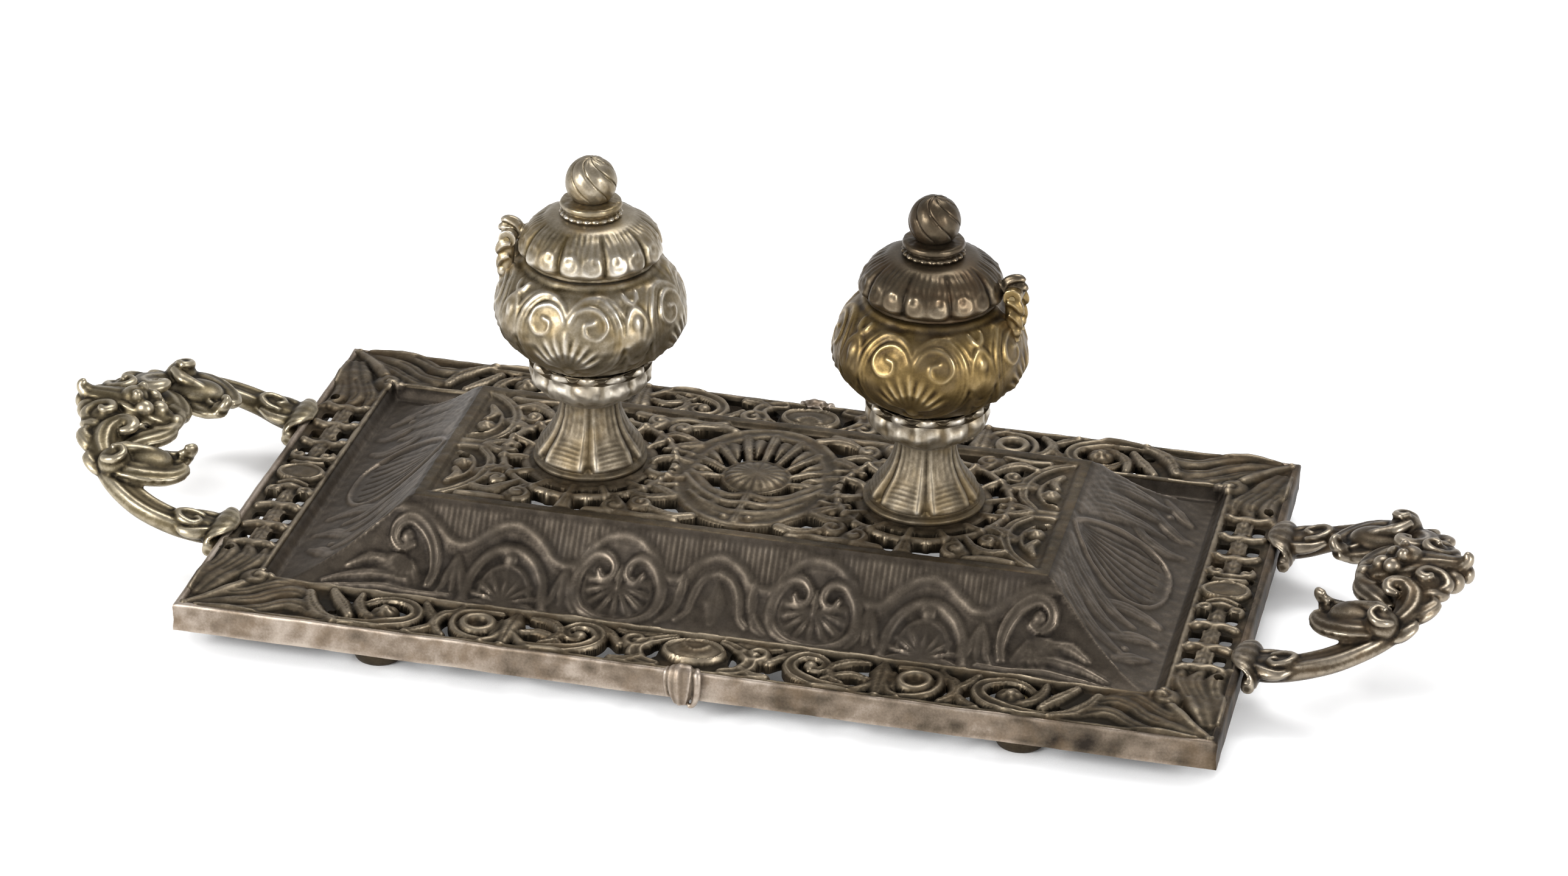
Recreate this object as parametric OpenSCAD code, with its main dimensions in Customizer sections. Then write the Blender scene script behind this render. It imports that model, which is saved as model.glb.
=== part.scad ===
// Double inkstand: a cast tray on four feet, two lidded urns and two scroll handles.
// Millimetres. X runs along the tray, +Z is up, the origin is on the desk under the middle.

/* [Tray] */
// Length of the tray without its handles
tray_length = 280; // [266:1:310]
// Depth of the tray from front to back
tray_depth = 160; // [154:1:180]
// Height of the plain skirt, rim included
skirt_height = 7.8; // [7.4:0.1:10]
// Thickness of the cast skirt, rim, slopes and platform
cast_wall = 2.4; // [2:0.1:2.6]
// Width of the pierced band along the front and the back
long_band = 21; // [19:0.5:23]
// Width of the pierced band across each end
end_band = 18; // [16:0.5:20]
// Depth of the pen groove below the rim
groove_depth = 3; // [1.5:0.25:4]
// Width of the groove's outer slope
groove_slope = 2.5; // [1.5:0.25:4]
// Width of the ornament tab at the middle of the front and back
tab_width = 6.6; // [4:0.2:10]
// How far the tab stands proud of the skirt
tab_proud = 1.4; // [0.8:0.1:2]
// How far the tab hangs below the skirt
tab_hang = 1.8; // [0.5:0.1:3]

/* [Platform] */
// Height of the platform lip above the rim
platform_rise = 17; // [14:0.5:22]
// Length of the platform lip
platform_length = 174; // [166:1:188]
// Depth of the platform lip
platform_depth = 68; // [64:0.5:72]
// Width of the smooth lip
lip_width = 3; // [2:0.25:4]
// Height of the lip above the pierced floor
lip_height = 1; // [0.6:0.1:1.4]
// How hollow the slopes are, where 1 is straight
slope_power = 1.6; // [1.2:0.1:2]

/* [Piercing] */
// Side of the square holes in the bands
band_hole = 3.2; // [2:0.1:4]
// Spacing of the holes along an end band
end_hole_pitch = 11; // [9:0.5:12]
// Diameter of the round holes in the long bands
ring_hole = 4; // [3:0.2:5]
// Number of square openings in the gallery round an urn's foot
gallery_count = 14; // [10:1:16]
// Side of a gallery opening
gallery_hole = 4; // [2.5:0.1:4.2]
// Solid floor between an urn's seat and the gallery openings
gallery_gap = 1.6; // [1:0.1:2.4]
// Number of slots round the rosette in the middle of the platform
rosette_count = 10; // [8:1:12]
// Radius of the domed rosette
rosette_radius = 8.5; // [7:0.25:9.5]
// Height of the domed rosette above the floor
rosette_height = 2.2; // [1:0.1:3]

/* [Ornament] */
// Height of the cast scrolls above the rim, the slopes and the platform's floor
relief_height = 1.3; // [0.8:0.1:1.6]
// Width of a scroll
scroll_width = 3; // [2.4:0.1:3.4]
// Width of a narrow rib
rib_width = 2; // [1.4:0.1:2.4]

/* [Feet] */
// Height of the skirt above the desk
foot_clear = 7.2; // [5:0.1:9]
// Radius of a foot
foot_radius = 7; // [5.5:0.1:7.5]
// Distance from the middle of the tray to a foot, along the tray
foot_x = 87; // [60:1:105]
// Distance from the skirt's inner face to the middle of a foot
foot_inset = 11; // [9:0.5:14]
// Height of the boss that a foot screws to
boss_height = 3; // [2:0.2:4]
// Radius of the foot screws
foot_screw_radius = 1.5; // [1.25:0.05:1.75]

/* [Urns] */
// Distance between the axes of the two urns
urn_spacing = 93.4; // [88:0.2:100]
// Radius of the pedestal's base ring
base_radius = 16; // [15:0.1:17]
// Height of the pedestal
pedestal_height = 19; // [16:0.5:22]
// Radius of the pedestal's neck
neck_radius = 7; // [6:0.1:8]
// Wall of the hollow pedestal
pedestal_wall = 2; // [1.5:0.1:2.4]
// Radius of the leafy calyx
calyx_radius = 16.4; // [15.5:0.1:18]
// Height of the calyx up to the bowl's seat
calyx_height = 9.5; // [8.5:0.25:11]
// Greatest radius of the bowl
bowl_radius = 25.8; // [25.2:0.1:27]
// Height of the widest part above the bowl's seat
bowl_belly = 17.5; // [16:0.5:20]
// Height of the bowl from its widest part to the mouth
bowl_shoulder = 14.3; // [13:0.1:15]
// Wall of the bowl
bowl_wall = 1.6; // [1.2:0.1:1.9]
// Radius of the bowl's mouth
mouth_radius = 15.6; // [15:0.1:16.2]

/* [Ink liner] */
// Depth of the liner below its flange
liner_depth = 23; // [16:0.5:24]
// Wall of the liner
liner_wall = 1.8; // [1.4:0.1:2.4]
// Thickness of the liner's flange
liner_flange = 1.2; // [0.8:0.1:1.6]
// Clearance round the liner
liner_clear = 0.35; // [0.2:0.05:0.6]

/* [Lids] */
// Radius of the lid
lid_radius = 18.9; // [18.3:0.1:19.2]
// Height of the lid's dome above its rim
lid_rise = 11.5; // [10:0.1:13]
// Height of the lid's widest part above its rim
lid_belly = 3.2; // [2:0.1:4]
// Wall of the lid
lid_wall = 1.5; // [1.2:0.1:1.8]
// Gap between a closed lid and its bowl
lid_gap = 0.25; // [0.15:0.05:0.4]
// Clearance between the lid's inner ring and the mouth
plug_clear = 0.7; // [0.5:0.05:1]
// Depth of the lid's inner ring below the lid's rim
plug_depth = 1.4; // [0.8:0.1:1.6]
// Radius of the saucer collar under the finial
collar_radius = 8.3; // [7.8:0.1:8.8]
// Height of the collar
collar_height = 4.6; // [4.2:0.1:5.4]
// Radius of the finial ball
ball_radius = 6.9; // [6:0.1:7.6]

/* [Hinges] */
// Distance from an urn's axis to its hinge pin
hinge_reach = 22.3; // [22:0.1:22.8]
// Height of the hinge pin above the bowl's mouth
hinge_rise = 4.2; // [3.8:0.1:5]
// Radius of the knuckles
knuckle_radius = 2.5; // [2.1:0.05:2.6]
// Width of the lid's knuckle
knuckle_width = 3.2; // [2.4:0.1:4]
// Width of each of the bowl's knuckles
lug_width = 2.4; // [1.8:0.1:3]
// Radius of the hinge pin
pin_radius = 0.8; // [0.6:0.05:1]
// Running clearance of the lid's knuckle on the pin
pin_clear = 0.05; // [0.03:0.01:0.08]
// Gap between neighbouring knuckles
knuckle_gap = 0.25; // [0.2:0.05:0.4]

/* [Fasteners] */
// Radius of an urn's tie bolt
bolt_radius = 2; // [1.6:0.1:2.4]
// Width of the tie nut across its flats
tie_nut_across = 7; // [6:0.1:8]
// Height of the tie nut
tie_nut_height = 3; // [2:0.1:4]
// Thickness of the tie washer
tie_washer = 0.8; // [0.5:0.1:1.2]
// Radius of the studs of the handles and finials
stud_radius = 1.25; // [1:0.05:1.4]
// Width of the small nuts across their flats
small_nut_across = 4.4; // [4:0.1:5]
// Height of the small nuts
small_nut_height = 2; // [1.5:0.1:2.5]
// Thickness of the small washers
small_washer = 0.5; // [0.3:0.1:0.8]

/* [Handles] */
// How far a handle reaches beyond the tray
handle_reach = 56; // [52:0.5:64]
// Distance from the middle of the handle to each arm's foot
handle_spread = 34; // [31:0.5:38]
// Thickness of a handle's foot plate
plate_thickness = 2.6; // [2:0.1:3.4]
// Width of a foot plate
plate_width = 22; // [16:0.5:26]
// Height of the handle's outer end above the rim
handle_lift = 11; // [8:0.5:14]
// Thickness of the scroll arms
arm_radius = 4.8; // [4:0.1:5.4]

/* [Hidden] */

$fn = 64;
eps = 0.01;
thread_fit = 0.03;   // radial gap of a screw in its tapped hole
loose_fit = 0.2;     // radial gap of a bolt in its clearance hole
LEFT = -1;
RIGHT = 1;

// Heights
rim_z = foot_clear + skirt_height;
lip_z = rim_z + platform_rise;
floor_z = lip_z - lip_height;
under_z = floor_z - cast_wall;
seat_z = lip_z + pedestal_height + calyx_height;
belly_z = seat_z + bowl_belly;
mouth_z = belly_z + bowl_shoulder;
lid_z = mouth_z + lid_gap;
crown_z = lid_z + 1 + lid_rise;
ceiling_z = crown_z - lid_wall - 0.3;
hinge_z = mouth_z + hinge_rise;

// Places
half_length = tray_length / 2;
half_depth = tray_depth / 2;
urn_x = urn_spacing / 2;
foot_y = half_depth - cast_wall - foot_inset;
groove_x = half_length - end_band - groove_slope;
groove_y = half_depth - long_band - groove_slope;

// The bowl is two half ellipses that meet at the belly.
bowl_drop = bowl_belly + 0.5;
bowl_top = 20;
bowl_floor = 2;

function bowl_r(z, inset = 0) =
    let (b = (z < belly_z ? bowl_drop : bowl_top) - inset)
    (bowl_radius - inset) * sqrt(max(0, 1 - pow((z - belly_z) / b, 2)));

// Points from a to b, n steps.
function steps(a, b, n) = [for (i = [0:n]) a + (b - a) * i / n];

module hex_nut(across, height, bore) {
    difference() {
        cylinder(r = across / 2 / cos(30), h = height, $fn = 6);
        translate([0, 0, -1]) cylinder(r = bore, h = height + 2);
    }
}

// Unit vector square to a line of points at its point i.
function across(points, i) =
    let (d = points[min(i + 1, len(points) - 1)] - points[max(i - 1, 0)])
    [-d[1], d[0]] / norm(d);

// A flat bar of even width along a line of points.
module bar(points, width) {
    last = len(points) - 1;
    polygon(concat([for (i = [0:last]) points[i] + across(points, i) * width / 2],
                   [for (i = [last:-1:0]) points[i] - across(points, i) * width / 2]));
}

// Points round an arc of an ellipse.
function arc(middle, rx, ry, from, to, n = 8) =
    [for (a = steps(from, to, n)) middle + [rx * cos(a), ry * sin(a)]];

module ring(outer, inner, height) {
    difference() {
        cylinder(r = outer, h = height);
        translate([0, 0, -1]) cylinder(r = inner, h = height + 2);
    }
}

// ---- Tray ----

// Height of the casting's top along one direction: band, groove, hollow slope, platform.
function section(half, foot, lip, drop, inset) = concat(
    [[half, -1], [half, rim_z - drop], [foot + groove_slope + inset, rim_z - drop],
     [foot + inset * 0.4, rim_z - groove_depth - drop]],
    [for (t = steps(0, 1, 8))
        [foot - 1 - inset + (lip - foot + 1) * t,
         rim_z - groove_depth - drop + (platform_rise + groove_depth) * pow(t, slope_power)]]
);

module extrude_section(half, foot, lip, drop, inset, length) {
    side = section(half, foot, lip, drop, inset);
    n = len(side) - 1;
    rotate([90, 0, 0])
        translate([0, 0, -length / 2])
            linear_extrude(length)
                polygon(concat(side, [for (i = [n:-1:0]) [-side[i][0], side[i][1]]]));
}

module casting_form(drop, inset, trim) {
    intersection() {
        extrude_section(half_length - trim, groove_x, platform_length / 2, drop, inset,
                        tray_depth - 2 * trim);
        rotate(90)
            extrude_section(half_depth - trim, groove_y, platform_depth / 2, drop, inset,
                            tray_length - 2 * trim);
    }
}

module slab(length, depth, low, high) {
    translate([-length / 2, -depth / 2, low]) cube([length, depth, high - low]);
}

module rim_frame() {
    difference() {
        slab(tray_length, tray_depth, rim_z - cast_wall, rim_z);
        slab(tray_length - 2 * end_band, tray_depth - 2 * long_band, rim_z - 10, rim_z + 1);
    }
}

module four_ways() {
    for (sx = [0, 1], sy = [0, 1])
        mirror([sx, 0, 0]) mirror([0, sy, 0]) children();
}

module end_band_holes() {
    for (row = [1:3], side = [-1, 1])
        translate([half_length - end_band * (side > 0 ? 0.34 : 0.7), row * end_hole_pitch + 1, 0])
            rotate(45) cube([band_hole, band_hole, 40], center = true);
}

module long_band_holes() {
    band_y = half_depth - long_band * 0.52;
    translate([58.5, band_y, -20]) cylinder(r = ring_hole / 2, h = 40);
    for (x = [22, 49.5, 68, 104])
        translate([x, band_y, 0]) rotate(45) cube([band_hole, band_hole, 40], center = true);
    translate([36, band_y + 1, -20]) cylinder(r = ring_hole / 2, h = 40);
    translate([90, band_y, -20]) cylinder(r = ring_hole / 2, h = 40);
}

module platform_holes() {
    gallery_r = base_radius + gallery_gap + gallery_hole / 2;
    for (side = [LEFT, RIGHT], i = [0:gallery_count - 1])
        translate([side * urn_x, 0, 0])
            rotate((i + 0.5) * 360 / gallery_count)
                translate([gallery_r, 0, floor_z])
                    cube([gallery_hole, gallery_hole, 3 * cast_wall], center = true);
    for (i = [0:rosette_count - 1])
        rotate((i + 0.5) * 360 / rosette_count)
            translate([rosette_radius + 4, 0, floor_z])
                cube([5, 2.4, 3 * cast_wall], center = true);
    four_ways() {
        translate([platform_length / 2 - 12, 9, under_z - 1]) cylinder(r = 1.3, h = 10);
        translate([platform_length / 2 - 16, platform_depth / 2 - 8, under_z - 1])
            cylinder(r = 2.4, h = 10);
    }
}

// ---- Cast ornament, one quarter as seen from above ----

band_mid = half_depth - long_band * 0.52;
end_mid = half_length - end_band * 0.54;

// Scrolls, leaves and rings of the long band
module long_band_relief() {
    edge = half_depth - long_band + rib_width;
    bar([[-1, edge], [half_length - end_band + rib_width, edge]], rib_width);
    bar(arc([9, band_mid], 6, 8, -60, 60), scroll_width);
    bar(arc([33, band_mid], 7, 6.5, 40, 290), scroll_width);
    bar([[43, edge], [37, band_mid], [43, band_mid + 6]], scroll_width);
    bar([[50, edge], [50, band_mid + 8]], scroll_width * 1.3);
    translate([58.5, band_mid]) circle(r = ring_hole * 1.3);
    bar(arc([62, band_mid], 8, 8, -60, 60), scroll_width);
    bar(arc([84, band_mid], 8, 7, 50, 290), scroll_width);
    translate([84, band_mid]) circle(r = scroll_width);
    bar([[92, band_mid + 6], [100, edge]], scroll_width);
    bar([[97, band_mid + 8], [107, edge + 2]], scroll_width * 1.2);
}

// Acanthus over the corner
module corner_relief() {
    top = [half_length - 4, half_depth - 4];
    root = [half_length - end_band, half_depth - long_band];
    translate(root + [1, 1]) circle(r = 5);
    bar([root, top], scroll_width);
    bar([top - [30, 0], top - [18, 3], top - [2, 1]], scroll_width);
    bar([top - [28, 10], top - [14, 8], top - [3, 4]], scroll_width);
    bar([top - [0, 34], top - [4, 20], top - [1, 2]], scroll_width);
    bar([top - [9, 34], top - [8, 18], top - [4, 4]], scroll_width);
}

// Spine, cross leaves and oval of the end band
module end_band_relief() {
    bar([[half_length - end_band + rib_width * 0.7, -1],
         [half_length - end_band + rib_width * 0.7, half_depth - long_band]], rib_width);
    bar([[end_mid, -1], [end_mid, 4 * end_hole_pitch]], scroll_width);
    for (row = [0:3])
        bar([[end_mid - 5.5, row * end_hole_pitch + 8], [end_mid, row * end_hole_pitch + 7],
             [end_mid + 5.5, row * end_hole_pitch + 8]], rib_width);
}

// Point on the front slope, where t runs from the groove to the lip.
function on_slope(x, t) = [x, groove_y - t * (groove_y - platform_depth / 2)];

// Ribbon, heart frames, arches and corner scroll of the long slopes
module slope_relief() {
    bar([for (p = [[-11, 0.64], [0, 0.87], [11, 0.64], [21, 0.89], [27, 0.82], [32, 0.89], [42, 0.65],
                   [57, 0.89], [70, 0.69], [80, 0.9], [platform_length / 2 + 4, 0.93]])
            on_slope(p[0], p[1])], rib_width);
    bar([for (p = [[16, 0.74], [16, 0.5], [20, 0.31], [27, 0.27], [33, 0.31], [37, 0.5], [37, 0.74]])
            on_slope(p[0], p[1])], scroll_width);
    translate(on_slope(27, 0.55)) circle(r = scroll_width);
    bar([for (p = [[47, 0.2], [48, 0.55], [52, 0.75], [57, 0.81], [62, 0.75], [66, 0.55], [67, 0.2]])
            on_slope(p[0], p[1])], rib_width);
    translate(on_slope(57, 0.4)) circle(r = scroll_width);
    for (x = [8, 42, 71])
        bar([on_slope(x, 0.55), on_slope(x + 1, 0.2)], scroll_width);
    bar([for (p = [[78, 0.25], [77, 0.5], [80, 0.7], [86, 0.83], [90, 0.7], [87, 0.56]])
            on_slope(p[0], p[1])], scroll_width);
}

// The casting's top, raised by the ornament, within the ornament's outline
module outer_relief() {
    intersection() {
        casting_form(-relief_height, 0, 0);
        linear_extrude(lip_z + 5) {
            four_ways() {
                long_band_relief();
                corner_relief();
                end_band_relief();
                slope_relief();
            }
            // Discs at the middle of each band
            for (sign = [-1, 1]) {
                translate([0, sign * band_mid]) rotate(20) circle(r = long_band * 0.29);
                translate([sign * end_mid, 0]) rotate(20) circle(r = end_band * 0.31);
            }
        }
    }
}

// Oval ring, gallery rings, webs and end lobes of the platform
module platform_relief() {
    lip = platform_depth / 2 - lip_width + eps;
    gallery = base_radius + gallery_gap + gallery_hole + rib_width / 2;
    translate([0, 0, floor_z - 0.5])
        linear_extrude(relief_height + 0.5)
            intersection() {
                square([platform_length - 2 * lip_width, 2 * lip], center = true);
                four_ways() {
                    bar(arc([0, 0], 20, 27, -2, 92, 10), scroll_width);
                    for (a = [0, 36, 72])
                        bar([[rosette_radius * cos(a), rosette_radius * sin(a)], [20 * cos(a), 27 * sin(a)]],
                            rib_width);
                    bar(arc([urn_x, 0], gallery, gallery, -2, 182, 16), rib_width);
                    for (a = [60, 90, 120])
                        bar([[urn_x + gallery * cos(a), gallery * sin(a)],
                             [urn_x + 34 * cos(a), 34 * sin(a)]], rib_width);
                    bar([[18, 15], [27, 19], [31, 14]], rib_width);
                    bar([[platform_length / 2, 2], [platform_length / 2 - 13, 6], [platform_length / 2 - 15, 16],
                         [platform_length / 2 - 10, 26], [platform_length / 2 - 3, 31]], rib_width);
                    bar([[platform_length / 2 - 3, 0], [urn_x + gallery, 0]], scroll_width);
                }
            }
}

module foot_places() {
    four_ways() translate([foot_x, foot_y, 0]) children();
}

module handle_stud_places(side) {
    for (sy = [-1, 1])
        translate([side * half_length, sy * handle_spread, stud_z])
            rotate([0, -side * 90, 0]) children();
}

stud_z = rim_z - cast_wall - small_nut_across / 2 / cos(30) - 0.2;

module tab() {
    translate([-tab_width / 2, half_depth - eps, foot_clear - tab_hang])
        cube([tab_width, tab_proud + eps, skirt_height + tab_hang]);
}

module tray() {
    color([0.33, 0.28, 0.22])
    difference() {
        union() {
            difference() {
                union() {
                    casting_form(0, 0, 0);
                    rim_frame();
                    outer_relief();
                }
                casting_form(cast_wall, cast_wall, cast_wall);
                slab(tray_length + 2, tray_depth + 2, -2, foot_clear);
                slab(platform_length - 2 * lip_width, platform_depth - 2 * lip_width,
                     floor_z, lip_z + 1);
            }
            slab(platform_length - 2 * lip_width, platform_depth - 2 * lip_width,
                 under_z, floor_z);
            platform_relief();
            for (side = [LEFT, RIGHT])
                translate([side * urn_x, 0, under_z])
                    cylinder(r = base_radius + 0.5, h = lip_z - under_z);
            translate([0, 0, floor_z + rosette_height - rosette_ball])
                intersection() {
                    sphere(r = rosette_ball);
                    translate([0, 0, rosette_ball - rosette_height - 0.5])
                        cylinder(r = rosette_radius, h = 2 * rosette_height);
                }
            foot_places()
                translate([0, 0, rim_z - cast_wall - boss_height])
                    cylinder(r = foot_screw_radius + 3, h = boss_height + 0.5);
            tab();
            mirror([0, 1, 0]) tab();
        }
        for (side = [LEFT, RIGHT]) {
            translate([side * urn_x, 0, under_z - 1])
                cylinder(r = bolt_radius + loose_fit, h = 10);
            handle_stud_places(side)
                translate([0, 0, -1]) cylinder(r = stud_radius + loose_fit, h = cast_wall + 2);
        }
        foot_places()
            translate([0, 0, rim_z - cast_wall - boss_height - 1])
                cylinder(r = foot_screw_radius + thread_fit, h = boss_height + 2.2);
        four_ways() {
            end_band_holes();
            long_band_holes();
        }
        platform_holes();
    }
}

rosette_ball = (pow(rosette_radius, 2) + pow(rosette_height, 2)) / (2 * rosette_height);

// ---- Feet ----

foot_head_z = 2.4;   // height of the counterbore's floor
foot_top_z = rim_z - cast_wall - boss_height;

module foot(sx, sy) {
    bun = min(foot_clear, foot_top_z - 1) / 2;
    color([0.30, 0.26, 0.21])
    translate([sx * foot_x, sy * foot_y, 0])
        difference() {
            rotate_extrude()
                polygon(concat(
                    [[0, 0], [foot_radius - 1.2, 0]],
                    [for (a = steps(-60, 60, 8))
                        [foot_radius - 1.5 + 1.5 * cos(a), bun + (bun - 0.3) * sin(a) / sin(60)]],
                    [[foot_screw_radius + 3, 2 * bun], [foot_screw_radius + 3, foot_top_z],
                     [0, foot_top_z]]));
            translate([0, 0, -1]) cylinder(r = foot_screw_radius + loose_fit, h = foot_top_z + 2);
            translate([0, 0, -1]) cylinder(r = 2 * foot_screw_radius + 0.3, h = foot_head_z + 1);
        }
}

module foot_screws() {
    color([0.55, 0.52, 0.46])
    foot_places() {
        translate([0, 0, foot_head_z - 1.8]) cylinder(r = 2 * foot_screw_radius, h = 1.8);
        translate([0, 0, foot_head_z - eps])
            cylinder(r = foot_screw_radius, h = foot_top_z + boss_height + 0.8 - foot_head_z);
    }
}

// ---- Handles ----

// Points of a smooth curve through a list of points.
function spline_point(p, i, t) =
    let (n = len(p) - 1, a = p[max(i - 1, 0)], b = p[i], c = p[min(i + 1, n)], d = p[min(i + 2, n)])
    0.5 * (2 * b + (c - a) * t + (2 * a - 5 * b + 4 * c - d) * t * t
           + (3 * b - a - 3 * c + d) * t * t * t);
function smooth(p, n) = concat(
    [for (i = [0:len(p) - 2], k = [0:n - 1]) spline_point(p, i, k / n)], [p[len(p) - 1]]);
function unit(v) = v / norm(v);

// A solid swept along rows of [x, y, z, half width, half height].
module sweep(rows, sides = 14) {
    n = len(rows);
    at = [for (r = rows) [r[0], r[1], r[2]]];
    points = [for (i = [0:n - 1])
        let (run = unit(at[min(i + 1, n - 1)] - at[max(i - 1, 0)]),
             across = unit(cross(run, [0, 0, 1])),
             up = cross(across, run))
        for (k = [0:sides - 1])
            at[i] + across * rows[i][3] * cos(360 * k / sides)
                  + up * rows[i][4] * sin(360 * k / sides)];
    polyhedron(points, concat(
        [[for (k = [sides - 1:-1:0]) k]],
        [for (i = [0:n - 2], k = [0:sides - 1])
            let (a = i * sides + k, b = i * sides + (k + 1) % sides)
            each [[a, b + sides, a + sides], [a, b, b + sides]]],
        [[for (k = [0:sides - 1]) (n - 1) * sides + k]]));
}

// Rows are in shares of the handle's reach and spread and of its lift above the rim.
function handle_rows(rows) = [for (r = rows)
    [half_length + handle_reach * r[0], handle_spread * r[1], arm_z + handle_lift * r[2],
     arm_radius * r[3], arm_radius * r[4]]];

arm_z = foot_clear + skirt_height * 0.56;

// The arm rises out of its foot plate, bows outwards and turns in to the middle.
arm_rows = handle_rows([
    [0.040, 1.00, 0.00, 1.75, 1.00], [0.065, 1.00, 0.00, 1.55, 1.00], [0.14, 1.05, 0.13, 1.10, 1.00],
    [0.25, 1.08, 0.30, 1.00, 1.00],
    [0.40, 1.05, 0.56, 1.00, 1.05], [0.54, 0.95, 0.83, 1.10, 1.15], [0.65, 0.79, 1.04, 1.25, 1.25],
    [0.71, 0.59, 1.20, 1.35, 1.35], [0.70, 0.38, 1.32, 1.30, 1.35], [0.62, 0.16, 1.36, 1.10, 1.20]]);
// A leaf hangs off the bend into the finger loop.
leaf_rows = handle_rows([
    [0.66, 0.70, 1.08, 1.20, 1.00], [0.52, 0.62, 1.00, 1.45, 1.05], [0.40, 0.53, 0.92, 1.10, 0.90],
    [0.31, 0.46, 0.88, 0.45, 0.45]]);
// The palmette at the middle of the handle.
palmette_rows = handle_rows([
    [0.50, 0.00, 1.20, 0.80, 0.80], [0.60, 0.00, 1.34, 2.40, 1.50], [0.74, 0.00, 1.42, 2.60, 1.75],
    [0.88, 0.00, 1.44, 1.80, 1.45], [1.00, 0.00, 1.46, 0.70, 0.75]]);

module handle(side) {
    color([0.52, 0.46, 0.31])
    mirror([side == LEFT ? 1 : 0, 0, 0]) {
        for (sy = [0, 1]) mirror([0, sy, 0]) {
            sweep(smooth(arm_rows, 3));
            sweep(smooth(leaf_rows, 3), 10);
            translate([half_length, handle_spread - plate_width / 2, foot_clear + 0.4])
                cube([plate_thickness, plate_width, skirt_height + 1.6]);
        }
        sweep(smooth(palmette_rows, 3));
        handle_stud_places(RIGHT)
            translate([0, 0, -plate_thickness / 2])
                cylinder(r = stud_radius, h = plate_thickness / 2 + stud_length);
    }
}

stud_length = cast_wall + small_washer + small_nut_height + 1;

module handle_washers() {
    color([0.62, 0.58, 0.50])
    for (side = [LEFT, RIGHT])
        handle_stud_places(side)
            translate([0, 0, cast_wall])
                ring(small_nut_across / 2, stud_radius + loose_fit, small_washer);
}

module handle_nuts() {
    color([0.58, 0.54, 0.46])
    for (side = [LEFT, RIGHT])
        handle_stud_places(side)
            translate([0, 0, cast_wall + small_washer])
                rotate(30) hex_nut(small_nut_across, small_nut_height, stud_radius + thread_fit);
}

// ---- Urns ----

module at_urn(side) {
    mirror([side == LEFT ? 1 : 0, 0, 0]) translate([urn_x, 0, 0]) children();
}

module pedestal(side) {
    ring_h = 2.6;
    bell = pedestal_height - ring_h;
    outer = [for (a = steps(0, 90, 8))
        [neck_radius + (base_radius - 1.2 - neck_radius) * pow(cos(a), 0.8),
         lip_z + ring_h + bell * a / 90]];
    color([0.52, 0.47, 0.36])
    at_urn(side)
        rotate_extrude()
            polygon(concat(
                [[base_radius - 2.4 - pedestal_wall, lip_z], [base_radius - 0.7, lip_z]],
                [for (a = steps(-50, 70, 5))
                    [base_radius - 1.3 + 1.3 * cos(a), lip_z + ring_h / 2 + 1.3 * sin(a)]],
                outer,
                [[bolt_radius + loose_fit, lip_z + pedestal_height],
                 [bolt_radius + loose_fit, lip_z + pedestal_height - 3]],
                [for (i = [len(outer) - 3:-1:0])
                    [max(bolt_radius + 1, outer[i][0] - 1.2 * pedestal_wall), outer[i][1] - 1]]));
}

module calyx(side) {
    low_z = lip_z + pedestal_height;
    band_z = low_z + calyx_height * 0.5;
    color([0.50, 0.46, 0.37])
    at_urn(side)
        rotate_extrude()
            polygon(concat(
                [[bolt_radius + loose_fit, low_z], [neck_radius + 1.2, low_z]],
                [for (a = steps(15, 90, 6))
                    [neck_radius + 1.2 + (calyx_radius - neck_radius - 1.2) * sin(a),
                     low_z + (band_z - low_z) * (1 - cos(a))]],
                [[calyx_radius, seat_z - 1], [calyx_radius - 0.8, seat_z + 0.6],
                 [calyx_radius - 2.2, seat_z + 0.6], [calyx_radius - 3.4, seat_z],
                 [bolt_radius + loose_fit, seat_z]]));
}

ledge_z = mouth_z - 3;
ledge_thickness = 1.5;
ledge_inner = mouth_radius - 1.2;

module bowl(side) {
    inner_top = ledge_z - ledge_thickness;
    inner_low = seat_z + bowl_floor;
    lug_low = belly_z + 7.2;
    color(side == LEFT ? [0.56, 0.53, 0.43] : [0.58, 0.47, 0.24])
    at_urn(side)
        difference() {
            union() {
                rotate_extrude()
                    polygon(concat(
                        [[bolt_radius + loose_fit, seat_z]],
                        [for (z = steps(seat_z, mouth_z, 26)) [bowl_r(z), z]],
                        [[mouth_radius, mouth_z], [mouth_radius, ledge_z], [ledge_inner, ledge_z],
                         [ledge_inner, inner_top]],
                        [for (z = steps(inner_top, inner_low, 20))
                            [max(bowl_r(z, bowl_wall), bolt_radius + 3), z]],
                        [[bolt_radius + loose_fit, inner_low]]));
                for (sy = [0, 1]) mirror([0, sy, 0])
                    translate([0, knuckle_width / 2 + knuckle_gap + lug_width, 0])
                        rotate([90, 0, 0])
                            linear_extrude(lug_width)
                                polygon(concat(
                                    [[hinge_reach + knuckle_radius, hinge_z],
                                     [hinge_reach - knuckle_radius + 0.2, hinge_z]],
                                    [for (z = steps(mouth_z - 2, lug_low, 4))
                                        [bowl_r(z) - bowl_wall / 2, z]]));
                translate([hinge_reach, 0, hinge_z])
                    rotate([90, 0, 0])
                        for (sy = [0, 1]) mirror([0, 0, sy])
                            translate([0, 0, knuckle_width / 2 + knuckle_gap])
                                cylinder(r = knuckle_radius, h = lug_width);
            }
            translate([hinge_reach, 0, hinge_z])
                rotate([90, 0, 0])
                    cylinder(r = pin_radius + 0.02, h = 30, center = true);
        }
}

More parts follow.
